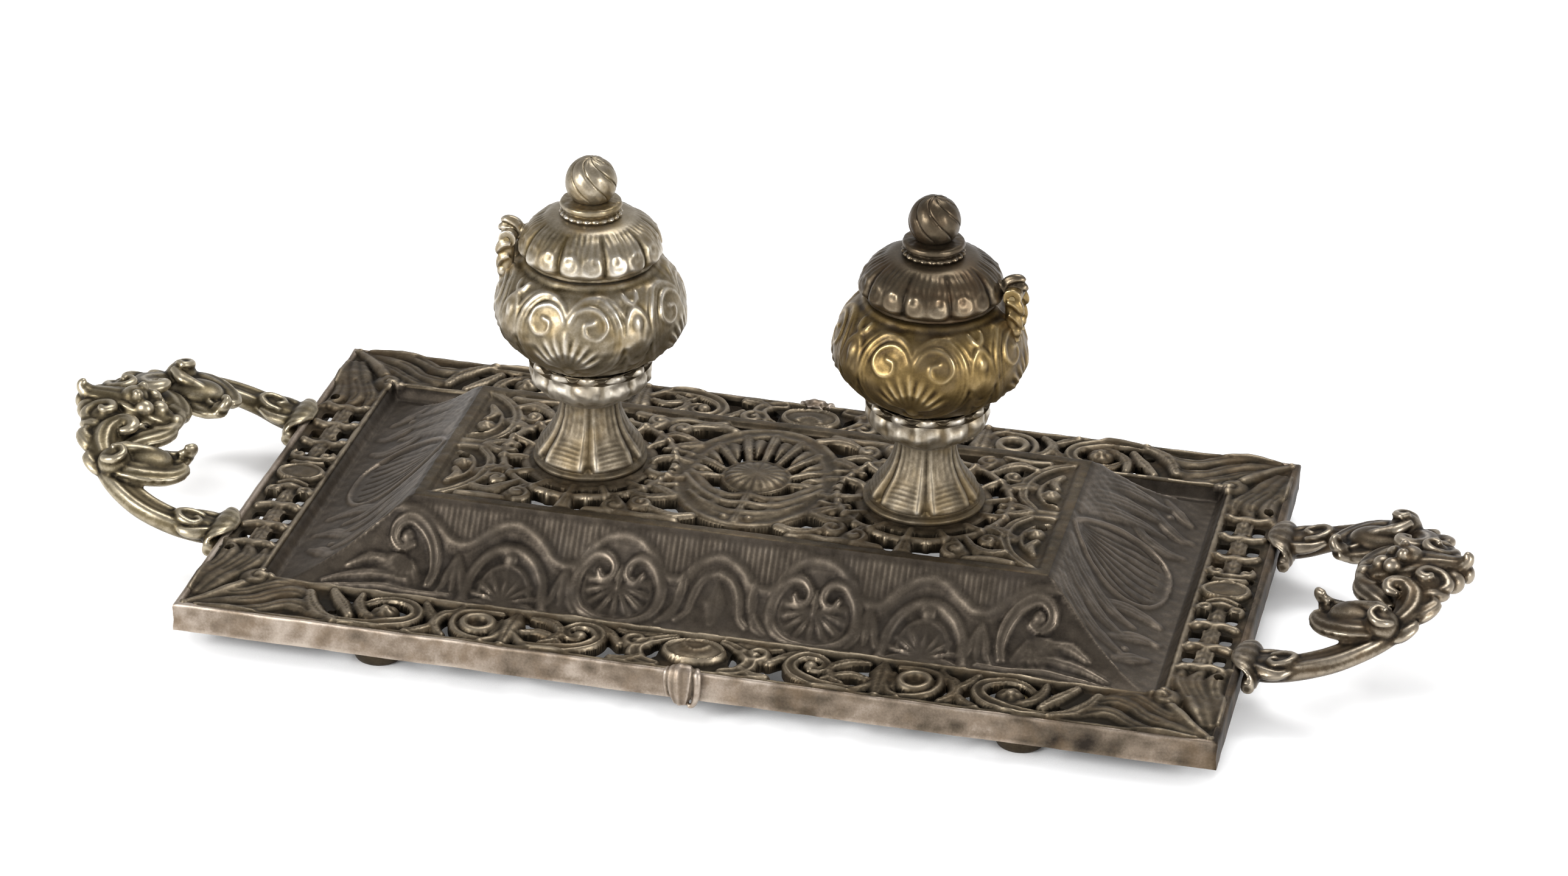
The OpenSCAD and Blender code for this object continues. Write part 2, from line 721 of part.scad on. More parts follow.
module liner(side) {
    body_r = ledge_inner - liner_clear;
    color([0.55, 0.60, 0.60])
    at_urn(side)
        rotate_extrude()
            polygon([
                [0, ledge_z - liner_depth], [body_r - 1.5, ledge_z - liner_depth],
                [body_r, ledge_z - liner_depth + 1.5], [body_r, ledge_z],
                [mouth_radius - liner_clear, ledge_z],
                [mouth_radius - liner_clear, ledge_z + liner_flange],
                [body_r - liner_wall, ledge_z + liner_flange],
                [body_r - liner_wall, ledge_z - liner_depth + 2.5],
                [body_r - liner_wall - 1, ledge_z - liner_depth + 2],
                [0, ledge_z - liner_depth + 2]]);
}

bolt_head = 2;
bolt_low_z = under_z - tie_washer - tie_nut_height - 1;

module tie_bolt(side) {
    color([0.55, 0.50, 0.40])
    at_urn(side) {
        translate([0, 0, seat_z + bowl_floor]) cylinder(r = 2 * bolt_radius, h = bolt_head);
        translate([0, 0, bolt_low_z])
            cylinder(r = bolt_radius, h = seat_z + bowl_floor + eps - bolt_low_z);
    }
}

module tie_washer(side) {
    color([0.62, 0.58, 0.50])
    at_urn(side)
        translate([0, 0, under_z - tie_washer])
            ring(tie_nut_across / 2 + 1.5, bolt_radius + loose_fit, tie_washer);
}

module tie_nut(side) {
    color([0.58, 0.54, 0.46])
    at_urn(side)
        translate([0, 0, under_z - tie_washer - tie_nut_height])
            hex_nut(tie_nut_across, tie_nut_height, bolt_radius + thread_fit);
}

// ---- Lids ----

lid_top_radius = collar_radius + 0.5;
function lid_r(t) = lid_top_radius + (lid_radius - lid_top_radius) * cos(90 * t);
lid_tuck = 1.7;      // how far the lid's rim lies inside its widest part

module lid_shell() {
    plug_r = mouth_radius - plug_clear;
    rim = lid_z + 1.2;
    widest_z = lid_z + lid_belly;
    rotate_extrude()
        polygon(concat(
            [[plug_r, lid_z]],
            [for (a = steps(-90, 0, 3)) [lid_radius + lid_tuck * (cos(a) - 1), widest_z + lid_belly * sin(a)]],
            [for (t = steps(0.1, 1, 9)) [lid_r(t), widest_z + (crown_z - widest_z) * sin(90 * t)]],
            [[stud_radius + loose_fit, crown_z], [stud_radius + loose_fit, ceiling_z]],
            [for (t = steps(1, 0, 8))
                [lid_r(t) - lid_wall - 0.3, widest_z + (ceiling_z - widest_z) * sin(90 * t)]],
            [[lid_radius - lid_tuck - lid_wall, rim], [plug_r - 1.5, rim],
             [plug_r - 1.5, lid_z - plug_depth], [plug_r, lid_z - plug_depth]]));
}

module lid(side) {
    color(side == LEFT ? [0.50, 0.47, 0.38] : [0.33, 0.27, 0.20])
    at_urn(side)
        difference() {
            union() {
                lid_shell();
                translate([lid_radius - 2, -knuckle_width / 2, lid_z + 0.4])
                    cube([hinge_reach - lid_radius + 2, knuckle_width, hinge_z - lid_z - 0.4]);
                translate([hinge_reach, knuckle_width / 2, hinge_z])
                    rotate([90, 0, 0]) cylinder(r = knuckle_radius, h = knuckle_width);
            }
            translate([hinge_reach, 0, hinge_z])
                rotate([90, 0, 0])
                    cylinder(r = pin_radius + pin_clear, h = 30, center = true);
        }
}

module hinge_pin(side) {
    length = knuckle_width + 2 * knuckle_gap + 2 * lug_width + 0.6;
    color([0.60, 0.55, 0.42])
    at_urn(side)
        translate([hinge_reach, 0, hinge_z])
            rotate([90, 0, 0]) cylinder(r = pin_radius, h = length, center = true);
}

collar_top = crown_z + collar_height;

module lid_collar(side) {
    bead = 0.9;
    bead_z = crown_z + bead;
    waist = bead_z + bead;
    color(side == LEFT ? [0.52, 0.49, 0.40] : [0.34, 0.28, 0.22])
    at_urn(side)
        rotate_extrude()
            polygon(concat(
                [[stud_radius + loose_fit, crown_z], [collar_radius - bead, crown_z]],
                [for (a = steps(-60, 70, 6))
                    [collar_radius - 1.4 * bead + bead * cos(a), bead_z + bead * sin(a)]],
                [[collar_radius - 1, waist + 0.3], [collar_radius, waist + 0.8],
                 [collar_radius - 0.2, waist + 1.6], [collar_radius - 2, collar_top - 0.5],
                 [collar_radius - 3.6, collar_top], [stud_radius + loose_fit, collar_top]]));
}

ball_seat = 2;       // how deep the ball's flat seat is cut
ball_z = collar_top + ball_radius - ball_seat;

module finial(side) {
    stud_low = ceiling_z - small_nut_height - 0.6;
    color(side == LEFT ? [0.60, 0.58, 0.53] : [0.36, 0.29, 0.20])
    at_urn(side)
        difference() {
            union() {
                translate([0, 0, ball_z]) sphere(r = ball_radius);
                translate([0, 0, stud_low]) cylinder(r = stud_radius, h = ball_z - stud_low);
            }
            // Flat seat of the ball on the collar
            translate([0, 0, collar_top - 10]) ring(10, stud_radius, 10);
        }
}

module finial_nut(side) {
    color([0.58, 0.54, 0.46])
    at_urn(side)
        translate([0, 0, ceiling_z - small_nut_height])
            hex_nut(small_nut_across, small_nut_height, stud_radius + thread_fit);
}

// ---- Parts by name ----

tray();
handle(LEFT);  // handle_left
handle(RIGHT);  // handle_right
handle_washers();
handle_nuts();
foot(-1, -1);  // foot_front_left
foot(1, -1);  // foot_front_right
foot(-1, 1);  // foot_back_left
foot(1, 1);  // foot_back_right
foot_screws();
pedestal(LEFT);  // left_pedestal
calyx(LEFT);  // left_calyx
bowl(LEFT);  // left_bowl
liner(LEFT);  // left_liner
tie_bolt(LEFT);  // left_tie_bolt
tie_washer(LEFT);  // left_tie_washer
tie_nut(LEFT);  // left_tie_nut
hinge_pin(LEFT);  // left_hinge_pin
lid(LEFT);  // left_lid
lid_collar(LEFT);  // left_lid_collar
finial(LEFT);  // left_finial
finial_nut(LEFT);  // left_finial_nut
pedestal(RIGHT);  // right_pedestal
calyx(RIGHT);  // right_calyx
bowl(RIGHT);  // right_bowl
liner(RIGHT);  // right_liner
tie_bolt(RIGHT);  // right_tie_bolt
tie_washer(RIGHT);  // right_tie_washer
tie_nut(RIGHT);  // right_tie_nut
hinge_pin(RIGHT);  // right_hinge_pin
lid(RIGHT);  // right_lid
lid_collar(RIGHT);  // right_lid_collar
finial(RIGHT);  // right_finial
finial_nut(RIGHT);  // right_finial_nut
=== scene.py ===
# Double inkstand: cast and pierced tray, two lidded urns, two scroll handles.
import copy
import math

import bpy
import numpy as np
from mathutils import Matrix, Vector


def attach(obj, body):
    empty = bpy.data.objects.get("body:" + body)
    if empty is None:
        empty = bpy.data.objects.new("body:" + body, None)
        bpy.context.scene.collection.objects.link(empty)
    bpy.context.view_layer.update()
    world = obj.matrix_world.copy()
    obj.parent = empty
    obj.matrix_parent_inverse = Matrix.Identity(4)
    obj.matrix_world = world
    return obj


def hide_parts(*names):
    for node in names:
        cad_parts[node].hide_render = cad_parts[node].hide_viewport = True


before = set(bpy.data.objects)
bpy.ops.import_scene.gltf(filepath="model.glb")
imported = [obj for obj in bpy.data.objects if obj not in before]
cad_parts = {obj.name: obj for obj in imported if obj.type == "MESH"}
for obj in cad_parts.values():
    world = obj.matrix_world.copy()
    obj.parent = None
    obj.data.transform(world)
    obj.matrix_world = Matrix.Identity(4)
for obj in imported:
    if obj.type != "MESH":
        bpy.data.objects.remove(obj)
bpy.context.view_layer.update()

MM = 0.001


# ---- Curves and waves ----


def curve(points, n=7):
    """A smooth polyline through points."""
    p = np.asarray(points, float)
    p = np.vstack([2 * p[:1] - p[1:2], p, 2 * p[-1:] - p[-2:-1]])
    t = np.linspace(0, 1, n, endpoint=False)[:, None]
    out = []
    for a, b, c, d in zip(p[:-3], p[1:-2], p[2:-1], p[3:]):
        out.append(0.5 * (2 * b + (c - a) * t + (2 * a - 5 * b + 4 * c - d) * t**2
                          + (3 * b - a - 3 * c + d) * t**3))
    return np.vstack(out + [p[-2:-1]])


def spiral(cx, cy, radius, start, turns, end):
    """An inward spiral; positive turns run counter-clockwise."""
    k = np.linspace(0, 1, 30)
    r = radius + (end - radius) * k
    a = np.radians(start) + 2 * np.pi * turns * k
    return np.c_[cx + r * np.cos(a), cy + r * np.sin(a)]


def circle(n):
    """n angles round a full turn."""
    return np.linspace(0, 2 * np.pi, n, endpoint=False)


def polar(degrees, rx, ry=None, cx=0.0, cy=0.0):
    """Points at angles on an ellipse or, without ry, on a circle."""
    a = np.radians(degrees)
    return np.stack([cx + rx * np.cos(a), cy + (ry or rx) * np.sin(a)], -1)


def lengths(p):
    """How far along a polyline each of its points lies."""
    return np.concatenate([[0], np.cumsum(np.hypot(*np.diff(p, axis=0).T))])


def spread(values, at):
    """Values spaced evenly over 0 to 1, read at other places."""
    values = np.atleast_1d(values)
    return np.interp(at, np.linspace(0, 1, len(values)), values)


def ease(a):
    """A smooth step from 0 to 1."""
    a = np.clip(a, 0, 1)
    return a * a * (3 - 2 * a)


def hump(a, at, width):
    """A bell-shaped bump of height 1."""
    return np.exp(-((a - at) / width) ** 2)


def arch(a, power=2.0):
    """A rounded crest over -1 to 1, of height 1; higher powers are flatter."""
    return np.sqrt(np.clip(1 - np.abs(a) ** power, 0, 1))


def waves(x, y, seed, pitch):
    """Smooth irregular hand-finished unevenness, about -1 to 1."""
    count = 7
    rng = np.random.default_rng(seed)
    out = np.zeros_like(x)
    for _ in range(count):
        a = rng.uniform(0, 2 * np.pi)
        k = 2 * np.pi / (pitch * rng.uniform(0.6, 1.8))
        out += np.sin(k * (x * math.cos(a) + y * math.sin(a)) + rng.uniform(0, 6.28))
    return out / math.sqrt(count)


def blur(a, sigma, wrap=False):
    """Gaussian blur of a grid, sigma in cells."""
    n = int(3 * sigma + 1)
    k = np.exp(-0.5 * (np.arange(-n, n + 1) / sigma) ** 2)
    k /= k.sum()
    for axis in (0, 1):
        pad = [(0, 0), (0, 0)]
        pad[axis] = (n, n)
        b = np.pad(a, pad, mode="wrap" if wrap and axis == 0 else "edge")
        out = np.zeros_like(a)
        for i, w in enumerate(k):
            s = [slice(None), slice(None)]
            s[axis] = slice(i, i + a.shape[axis])
            out += w * b[tuple(s)]
        a = out
    return a


# ---- Relief drawn on a grid ----

UNTOUCHED = -9.0  # a hole's depth where nothing was drawn


class Relief:
    """Heights and holes drawn with strokes, in millimetres; fat widens every stroke."""

    def __init__(self, x, y, fat=1.0):
        self.shape = x.shape
        self.fat = fat
        self.x = x.ravel()
        self.y = y.ravel()
        self.h = np.zeros(self.x.size)
        self.opened, self.filled, self.drilled = np.full((3, self.x.size), UNTOUCHED)

    def near(self, pts, reach):
        """Cells near a polyline: their distance from it, the place along it, and its length."""
        lo = pts.min(0) - reach
        hi = pts.max(0) + reach
        idx = np.nonzero((self.x > lo[0]) & (self.x < hi[0])
                         & (self.y > lo[1]) & (self.y < hi[1]))[0]
        px, py = self.x[idx], self.y[idx]
        best = np.full(idx.size, 1e9)
        run = np.zeros(idx.size)
        at = lengths(pts)
        seg = np.hypot(*np.diff(pts, axis=0).T)
        for k in np.nonzero(seg >= 1e-9)[0]:
            dx, dy = pts[k + 1] - pts[k]
            ax, ay = px - pts[k][0], py - pts[k][1]
            t = np.clip((ax * dx + ay * dy) / (seg[k] ** 2), 0, 1)
            ex, ey = ax - t * dx, ay - t * dy
            q = ex * ex + ey * ey
            m = q < best
            best[m] = q[m]
            run[m] = (at[k] + t * seg[k])[m]
        return idx, np.sqrt(best), run, at[-1]

    def stroke(self, pts, width, height, kind="round", fill=True, veins=1.6):
        """A raised line; half widths and heights are spread evenly along it."""
        pts = np.asarray(pts, float)
        width = np.atleast_1d(width) * self.fat
        idx, d, run, total = self.near(pts, width.max() + 0.5)
        w = spread(width, run / total)
        top = spread(height, run / total)
        u = d / np.maximum(w, 1e-6)
        v = np.clip(u, 0, 1)
        m = u < 1
        if kind == "groove":
            self.h[idx[m]] -= (top * (1 - v * v))[m]
            return
        if kind == "round":
            g = np.sqrt(1 - v * v)
        elif kind == "soft":
            g = (1 - v * v) ** 1.5
        elif kind == "ribbon":
            g = np.sqrt(1 - v**4) * (0.62 + 0.38 * ease((v - 0.15) / 0.45))
        elif kind == "leaf":
            g = np.sqrt(1 - v * v) * (0.93 + 0.07 * np.cos(2 * np.pi * (run - 1.3 * d) / veins))
            g = g * (0.80 + 0.20 * ease(v / 0.25))
        elif kind == "reed":
            g = np.sqrt(1 - v**3) * (0.84 + 0.16 * np.cos(2 * np.pi * v * w / veins))
        self.h[idx[m]] = np.maximum(self.h[idx[m]], (top * g)[m])
        if fill:
            self.filled[idx] = np.maximum(self.filled[idx], w - d)

    def folded(self, x0=None):
        """The same relief, drawn on both sides of a mirror line: y = 0, or x = x0 with x from there."""
        twin = copy.copy(self)
        if x0 is None:
            twin.y = np.abs(self.y)
        else:
            twin.x = np.abs(self.x - x0)
        return twin

    def bend(self, pts, *args, **kw):
        """A stroke along a smooth curve through points."""
        self.stroke(curve(pts), *args, **kw)

    def leaf(self, pts, width, height, **kw):
        """A veined leaf along a smooth curve through points."""
        self.stroke(curve(pts), width, height, "leaf", **kw)

    def disc(self, cx, cy, rx, height, kind="dome", ry=None, n=8, inner=0.0):
        """A round or oval boss; n counts its flutes or petals, inner is a ring's hole."""
        ry = ry or rx
        px, py = self.x - cx, self.y - cy
        u = np.hypot(px / rx, py / ry)
        idx = np.nonzero(u < 1.3)[0]
        v = np.clip(u[idx], 0, 1)
        petals = np.abs(np.cos(n * np.arctan2(py[idx] / ry, px[idx] / rx) / 2))
        if kind == "dome":
            g = np.sqrt(1 - v * v)
        elif kind == "flat":
            g = np.sqrt(1 - v**6)
        elif kind == "fluted":
            g = np.sqrt(1 - v * v) * (1 - 0.16 * v * (1 - petals**0.7) * 2)
        elif kind == "rosette":
            g = np.where(v < 0.3, 1.15, np.sqrt(1 - v * v) * (0.72 + 0.28 * petals))
        elif kind == "ring":
            k = (1 + inner) / 2
            g = arch((v - k) / (1 - k))
        m = u[idx] < 1
        self.h[idx[m]] = np.maximum(self.h[idx[m]], (height * g)[m])
        self.filled[idx] = np.maximum(self.filled[idx], (1 - u[idx]) * min(rx, ry))

    def fan(self, cx, cy, aim, angle, r0, r1, ribs, height, rib_width=None):
        """Ribs spread from a point, as in a shell."""
        w = rib_width or math.radians(angle) / (ribs - 1) * r1 * 0.5
        for k in range(ribs):
            turn = k / (ribs - 1) - 0.5
            a = math.radians(aim + angle * turn)
            far = r1 * (1 - 0.36 * abs(turn))
            self.stroke([(cx + r * math.cos(a), cy + r * math.sin(a)) for r in (r0, far)],
                        [w * 0.35, w * 0.9, w], [height * 0.5, height, height * 0.35], fill=False)

    def area(self, pts, layer):
        """Marks the inside of an outline in one layer: opened or filled."""
        loop = np.asarray([*pts, pts[0]], float)
        idx, d, _, _ = self.near(loop, 3.0)
        px, py = self.x[idx], self.y[idx]
        inside = np.zeros(idx.size, bool)
        for (x0, y0), (x1, y1) in zip(loop[:-1], loop[1:]):
            if y0 != y1:
                inside ^= ((y0 > py) != (y1 > py)) & (px < (x1 - x0) * (py - y0) / (y1 - y0) + x0)
        layer[idx] = np.maximum(layer[idx], np.where(inside, d, -d))

    def drill(self, cx, cy, rx, ry=None, square=False):
        """A round or roughly square hole."""
        ry = ry or rx
        px, py = (self.x - cx) / rx, (self.y - cy) / ry
        r = (np.abs(px) ** 4 + np.abs(py) ** 4) ** 0.25 if square else np.hypot(px, py)
        np.maximum(self.drilled, (1 - r) * min(rx, ry), out=self.drilled)

    def hole(self):
        """Above zero where the plate is cut through."""
        f = np.minimum(self.opened, -self.filled)
        return np.maximum(f, self.drilled).reshape(self.shape)

    def height(self):
        return self.h.reshape(self.shape)


# ---- Pieces ----


def add_piece(name, mesh, body, node, material):
    """Adds a mesh as a piece that rides a body and stands in for a CAD node."""
    obj = bpy.data.objects.new(name, mesh)
    bpy.context.scene.collection.objects.link(obj)
    mesh.materials.clear()
    mesh.materials.append(material)
    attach(obj, body)
    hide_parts(node)


def add_wear_and_painted_light(mesh, wear_and_painted_light):
    """Stores wear per vertex, 0 in dirty recesses and 1 on rubbed high spots; on the tray and the skirt it
    also holds painted light and shade.
    """
    a = mesh.attributes.new("wear_and_painted_light", "FLOAT", "POINT")
    a.data.foreach_set("value", np.asarray(wear_and_painted_light, np.float32))


def mesh_piece(name, verts, faces, wear_and_painted_light, body, node, material, sharp=48):
    """A piece from four-sided faces, with edges sharper than an angle kept crisp."""
    mesh = bpy.data.meshes.new(name)
    n = len(faces)
    mesh.vertices.add(len(verts))
    mesh.vertices.foreach_set("co", (np.asarray(verts, np.float32) * MM).ravel())
    mesh.loops.add(n * 4)
    mesh.loops.foreach_set("vertex_index", np.asarray(faces, np.int32).ravel())
    mesh.polygons.add(n)
    mesh.polygons.foreach_set("loop_start", np.arange(0, n * 4, 4, dtype=np.int32))
    mesh.update(calc_edges=True)
    mesh.validate()
    mesh.shade_smooth()
    mesh.set_sharp_from_angle(angle=math.radians(sharp))
    add_wear_and_painted_light(mesh, wear_and_painted_light)
    add_piece(name, mesh, body, node, material)


def shell(name, top, under, keep=None, hole=None, wrap=False, wear_and_painted_light=None, under_wear=0.0, **kw):
    """A closed skin between two grids, with the holes cut through."""
    n, m = top.shape[:2]
    if hole is not None:
        # slide the vertices beside a hole onto its edge, half a cell at most
        gi, gj = np.gradient(hole)
        q = np.maximum(gi**2 + gj**2, 1e-9)
        edge = (np.abs(hole) < 1.0) & (np.hypot(hole * gi / q, hole * gj / q) < 0.8)
        di, dj = [np.where(edge, np.clip(-hole * g / q, -0.5, 0.5), 0)[..., None] for g in (gi, gj)]
        top, under = [p + slope[0] * di + slope[1] * dj
                      for p, slope in ((p, np.gradient(p, axis=(0, 1))) for p in (top, under))]
    rows = n if wrap else n - 1
    i0 = np.arange(rows)
    i1 = (i0 + 1) % n
    cells = np.ones((rows, m - 1), bool)
    if keep is not None:
        cells &= keep
    if hole is not None:
        corners = hole[i0][:, :-1] + hole[i1][:, :-1] + hole[i0][:, 1:] + hole[i1][:, 1:]
        cells &= corners / 4 <= 0
    vid = np.arange(n * m).reshape(n, m)
    a, b, c, d = vid[i0][:, :-1], vid[i1][:, :-1], vid[i1][:, 1:], vid[i0][:, 1:]
    off = n * m
    faces = [np.stack([a, b, c, d], -1)[cells], np.stack([a, d, c, b], -1)[cells] + off]
    # walls between top and underside wherever a cell has no neighbour
    pad = np.zeros((rows + 2, m + 1), bool)
    pad[1:-1, 1:-1] = cells
    if wrap:
        pad[0, 1:-1] = cells[-1]
        pad[-1, 1:-1] = cells[0]
    for p, r, other in ((a, d, pad[:-2, 1:-1]), (b, a, pad[1:-1, :-2]),
                        (c, b, pad[2:, 1:-1]), (d, c, pad[1:-1, 2:])):
        w = cells & ~other
        faces.append(np.stack([p[w], r[w], r[w] + off, p[w] + off], -1))
    faces = np.vstack(faces)
    verts = np.vstack([top.reshape(-1, 3), under.reshape(-1, 3)])
    wear_and_painted_light = np.full((n, m), 0.5) if wear_and_painted_light is None else wear_and_painted_light
    values = np.concatenate([wear_and_painted_light.ravel(), np.full(off, under_wear)])
    # turn the skin the right way out
    f0 = faces[0]
    e = np.cross(verts[f0[1]] - verts[f0[0]], verts[f0[3]] - verts[f0[0]])
    if np.dot(e, verts[f0[0]] - verts[f0[0] + off]) < 0:
        faces = faces[:, ::-1]
    used = np.unique(faces)
    remap = np.full(len(verts), -1)
    remap[used] = np.arange(used.size)
    mesh_piece(name, verts[used], remap[faces], values[used], **kw)


def wear_of(h, fine, coarse, cell, wrap=False, base=0.45):
    """Wear from a height grid: what stands above its surroundings is rubbed."""
    return np.clip(base + fine * (h - blur(h, 0.9 / cell, wrap))
                   + coarse * (h - blur(h, 3.0 / cell, wrap)), 0, 1)


def mesh_wear(mesh, base):
    """Wear of a free mesh, from its convexity on a small and a larger scale."""
    def read(items, prop, width, kind):
        values = np.empty(len(items) * width, kind)
        items.foreach_get(prop, values)
        return values.reshape(-1, width)

    co = read(mesh.vertices, "co", 3, np.float32) / MM
    no = read(mesh.vertices, "normal", 3, np.float32)
    e = read(mesh.edges, "vertices", 2, np.int32)
    n = len(co)
    deg = np.bincount(e.ravel(), minlength=n)[:, None]
    p = co.astype(float)
    total = np.zeros(n)
    weights = {5: 2.2, 18: 1.1}  # by smoothing step: the small scale and the larger one
    for step in range(1, max(weights) + 1):
        q = np.stack([np.bincount(e[:, 0], p[e[:, 1], k], n)
                      + np.bincount(e[:, 1], p[e[:, 0], k], n) for k in range(3)], -1)
        p = 0.5 * p + 0.5 * q / np.maximum(deg, 1)
        if step in weights:
            total += np.einsum("ij,ij->i", co - p, no) * weights[step]
    add_wear_and_painted_light(mesh, np.clip(base + total, 0, 1))


# ---- Materials ----


def rgb(r, g, b):
    """sRGB 0-255 to linear."""
    return tuple(c / 12.92 if c <= 0.04045 else ((c + 0.055) / 1.055) ** 2.4
                 for c in (r / 255, g / 255, b / 255))


def feed(tree, node, inputs):
    """Sets a node's inputs to values, or links them to the outputs given."""
    for socket, value in inputs.items():
        if isinstance(value, bpy.types.NodeSocket):
            tree.links.new(value, node.inputs[socket])
        else:
            node.inputs[socket].default_value = value


def add_node(tree, kind, inputs, output=0, **settings):
    """Adds a shader node and returns one of its outputs."""
    node = tree.nodes.new("ShaderNode" + kind)
    for name, value in settings.items():
        setattr(node, name, value)
    feed(tree, node, inputs)
    return node.outputs[output]


def add_math(tree, operation, *values):
    return add_node(tree, "Math", dict(enumerate(values)), operation=operation)


def add_range(tree, value, low, high, to_low, to_high):
    return add_node(tree, "MapRange", {"From Min": low, "From Max": high, "To Min": to_low,
                                       "To Max": to_high, "Value": value})


def add_ramp(tree, fac, stops):
    """Adds a colour ramp through (place, colour) stops."""
    ramp = add_node(tree, "ValToRGB", {"Fac": fac}, "Color")
    marks = ramp.node.color_ramp.elements
    while len(marks) < len(stops):
        marks.new(0.5)
    for mark, (at, tone) in zip(marks, stops):
        mark.position = at
        mark.color = (*tone, 1)
    return ramp


def new_material(name):
    mat = bpy.data.materials.new(name)
    mat.use_nodes = True
    return mat, mat.node_tree


def metal(name, tones, rough, patch=None, amount=0.0, shift=0.0, mottle=1.0):
    """Worn cast metal: tones run from the dirt in the recesses to the rubbed high spots, and follow the
    painted light and shade that the tray and the skirt carry in the same attribute.

    Patches of another tone cover it by an amount, shift lightens it, mottle scales its clouds.
    """
    mat, tree = new_material(name)
    coord = add_node(tree, "TexCoord", {}, "Object")

    def noise(scale, detail, roughness=0.6):
        return add_node(tree, "TexNoise", {"Scale": scale, "Detail": detail, "Roughness": roughness,
                                           "Vector": coord}, "Fac")

    f = add_node(tree, "Attribute", {}, "Fac", attribute_name="wear_and_painted_light")
    big, mid, fine = noise(42, 4), noise(260, 4), noise(1500, 3, 0.7)
    for cloud, strength in ((big, 0.42 * mottle), (mid, 0.40 * mottle), (fine, 0.28)):
        f = add_math(tree, "MULTIPLY_ADD", add_math(tree, "SUBTRACT", cloud, 0.5, 0.0), strength, f)
    if shift:
        f = add_math(tree, "ADD", f, shift, 0.0)
    color = add_ramp(tree, f, list(zip((0.10, 0.36, 0.58, 0.86), [rgb(*tone) for tone in tones])))
    if patch:
        cover = add_range(tree, noise(95, 3), 0.48, 0.66, 0.0, amount)
        color = add_node(tree, "Mix", {"Factor": cover, "A": color, "B": (*rgb(*patch), 1)}, "Result",
                         data_type="RGBA", blend_type="MIX")
    grain = add_node(tree, "Bump", {"Strength": 0.12, "Distance": 0.0004,
                                    "Height": add_math(tree, "MULTIPLY_ADD", fine, 0.5, mid)}, "Normal")
    feed(tree, tree.nodes["Principled BSDF"], {
        "Base Color": color, "Roughness": add_range(tree, f, 0.2, 0.85, *rough), "Normal": grain,
        "Metallic": 0.9, "Specular IOR Level": 0.5})
    return mat


BRONZE = metal("dark_bronze", [(32, 27, 19), (62, 54, 42), (88, 78, 63), (138, 126, 107)],
               (0.60, 0.42), (86, 70, 50), 0.35)
SKIRT = metal("skirt_bronze", [(44, 38, 32), (88, 78, 66), (124, 111, 97), (172, 160, 147)],
              (0.60, 0.46), (122, 101, 77), 0.30, mottle=0.6)
SLOPE = metal("slope_bronze", [(34, 29, 24), (62, 55, 47), (80, 72, 62), (118, 107, 94)],
              (0.58, 0.42), (70, 64, 58), 0.35)
OLIVE = metal("olive_brass", [(32, 27, 18), (76, 67, 50), (108, 98, 76), (172, 161, 138)],
              (0.54, 0.36), (96, 84, 60), 0.3)
BROWN = metal("brown_brass", [(28, 23, 17), (60, 51, 40), (84, 74, 60), (154, 143, 126)],
              (0.54, 0.36), (86, 68, 46), 0.3)
SILVER = metal("silvered_brass", [(60, 51, 34), (120, 109, 88), (156, 146, 128), (204, 197, 184)],
               (0.46, 0.30), (132, 112, 72), 0.45)
GOLD = metal("golden_brass", [(52, 40, 22), (102, 84, 50), (130, 110, 72), (168, 150, 114)],
             (0.46, 0.30), (98, 86, 70), 0.4)
DARK = metal("brown_bronze", [(34, 28, 20), (72, 63, 50), (92, 81, 65), (132, 120, 101)],
             (0.44, 0.30), (90, 66, 42), 0.3)
GREY = metal("grey_brass", [(58, 50, 38), (104, 94, 78), (136, 126, 109), (190, 182, 168)],
             (0.60, 0.42), (116, 98, 66), 0.45)
BRASS = metal("fastener_brass", [(52, 43, 30), (112, 97, 68), (138, 123, 90), (184, 170, 138)],
              (0.46, 0.34), shift=0.5)
FOOT = metal("foot_bronze", [(32, 27, 19), (58, 50, 39), (80, 70, 56), (128, 116, 98)],
             (0.60, 0.42), shift=0.48)
# ---- The tray's ground ----

FLOOR, LIP, GROOVE = 31.0, 32.0, 12.0   # heights: platform, its lip, pen groove
RISE = 3.0                              # from the groove to the bands
HALF_X, HALF_Y = 140.0, 80.0            # half length and half depth
IN_X, IN_Y = 122.0, 59.0                # inner edge of the bands
FOOT_X, FOOT_Y = 119.5, 56.5            # foot of the slopes
LIP_X, LIP_Y, LIP_W = 87.0, 34.0, 3.0   # lip round the platform, and its width
MID_X, END_X = 24.0, 105.0              # where platform and rim are parted
FRONT_RUN, END_RUN = 30.5, 38.0         # from foot to lip, up the front and the end slope
URN = 46.7                              # from the middle to an urn's axis
SEAT_R = 16.4                           # flat seat under an urn
SPOKES = 14                             # in the gallery round an urn's foot
WALL, PLATE = 2.3, 2.4                  # thickness of the casting, and of its platform
PITCH = 0.42      # size of a grid cell


def spaced(*stops):
    """Even grid lines that meet the stops, on both sides of 0."""
    out = [stops[0]]
    for a, b in zip(stops, stops[1:]):
        n = max(1, math.ceil((b - a) / PITCH))
        out += list(np.linspace(a, b, n + 1)[1:])
    out = np.array(out)
    return np.concatenate([-out[:0:-1], out])


XS = spaced(0, MID_X, LIP_X - LIP_W, LIP_X, END_X, FOOT_X, IN_X, HALF_X - 0.9)
YS = spaced(0, LIP_Y - LIP_W, LIP_Y, FOOT_Y, IN_Y, HALF_Y - 0.9)
X, Y = np.meshgrid(XS[len(XS) // 2:], YS, indexing="ij")
ABS_Y = np.abs(Y)
from_urn = np.hypot(X - URN, Y)

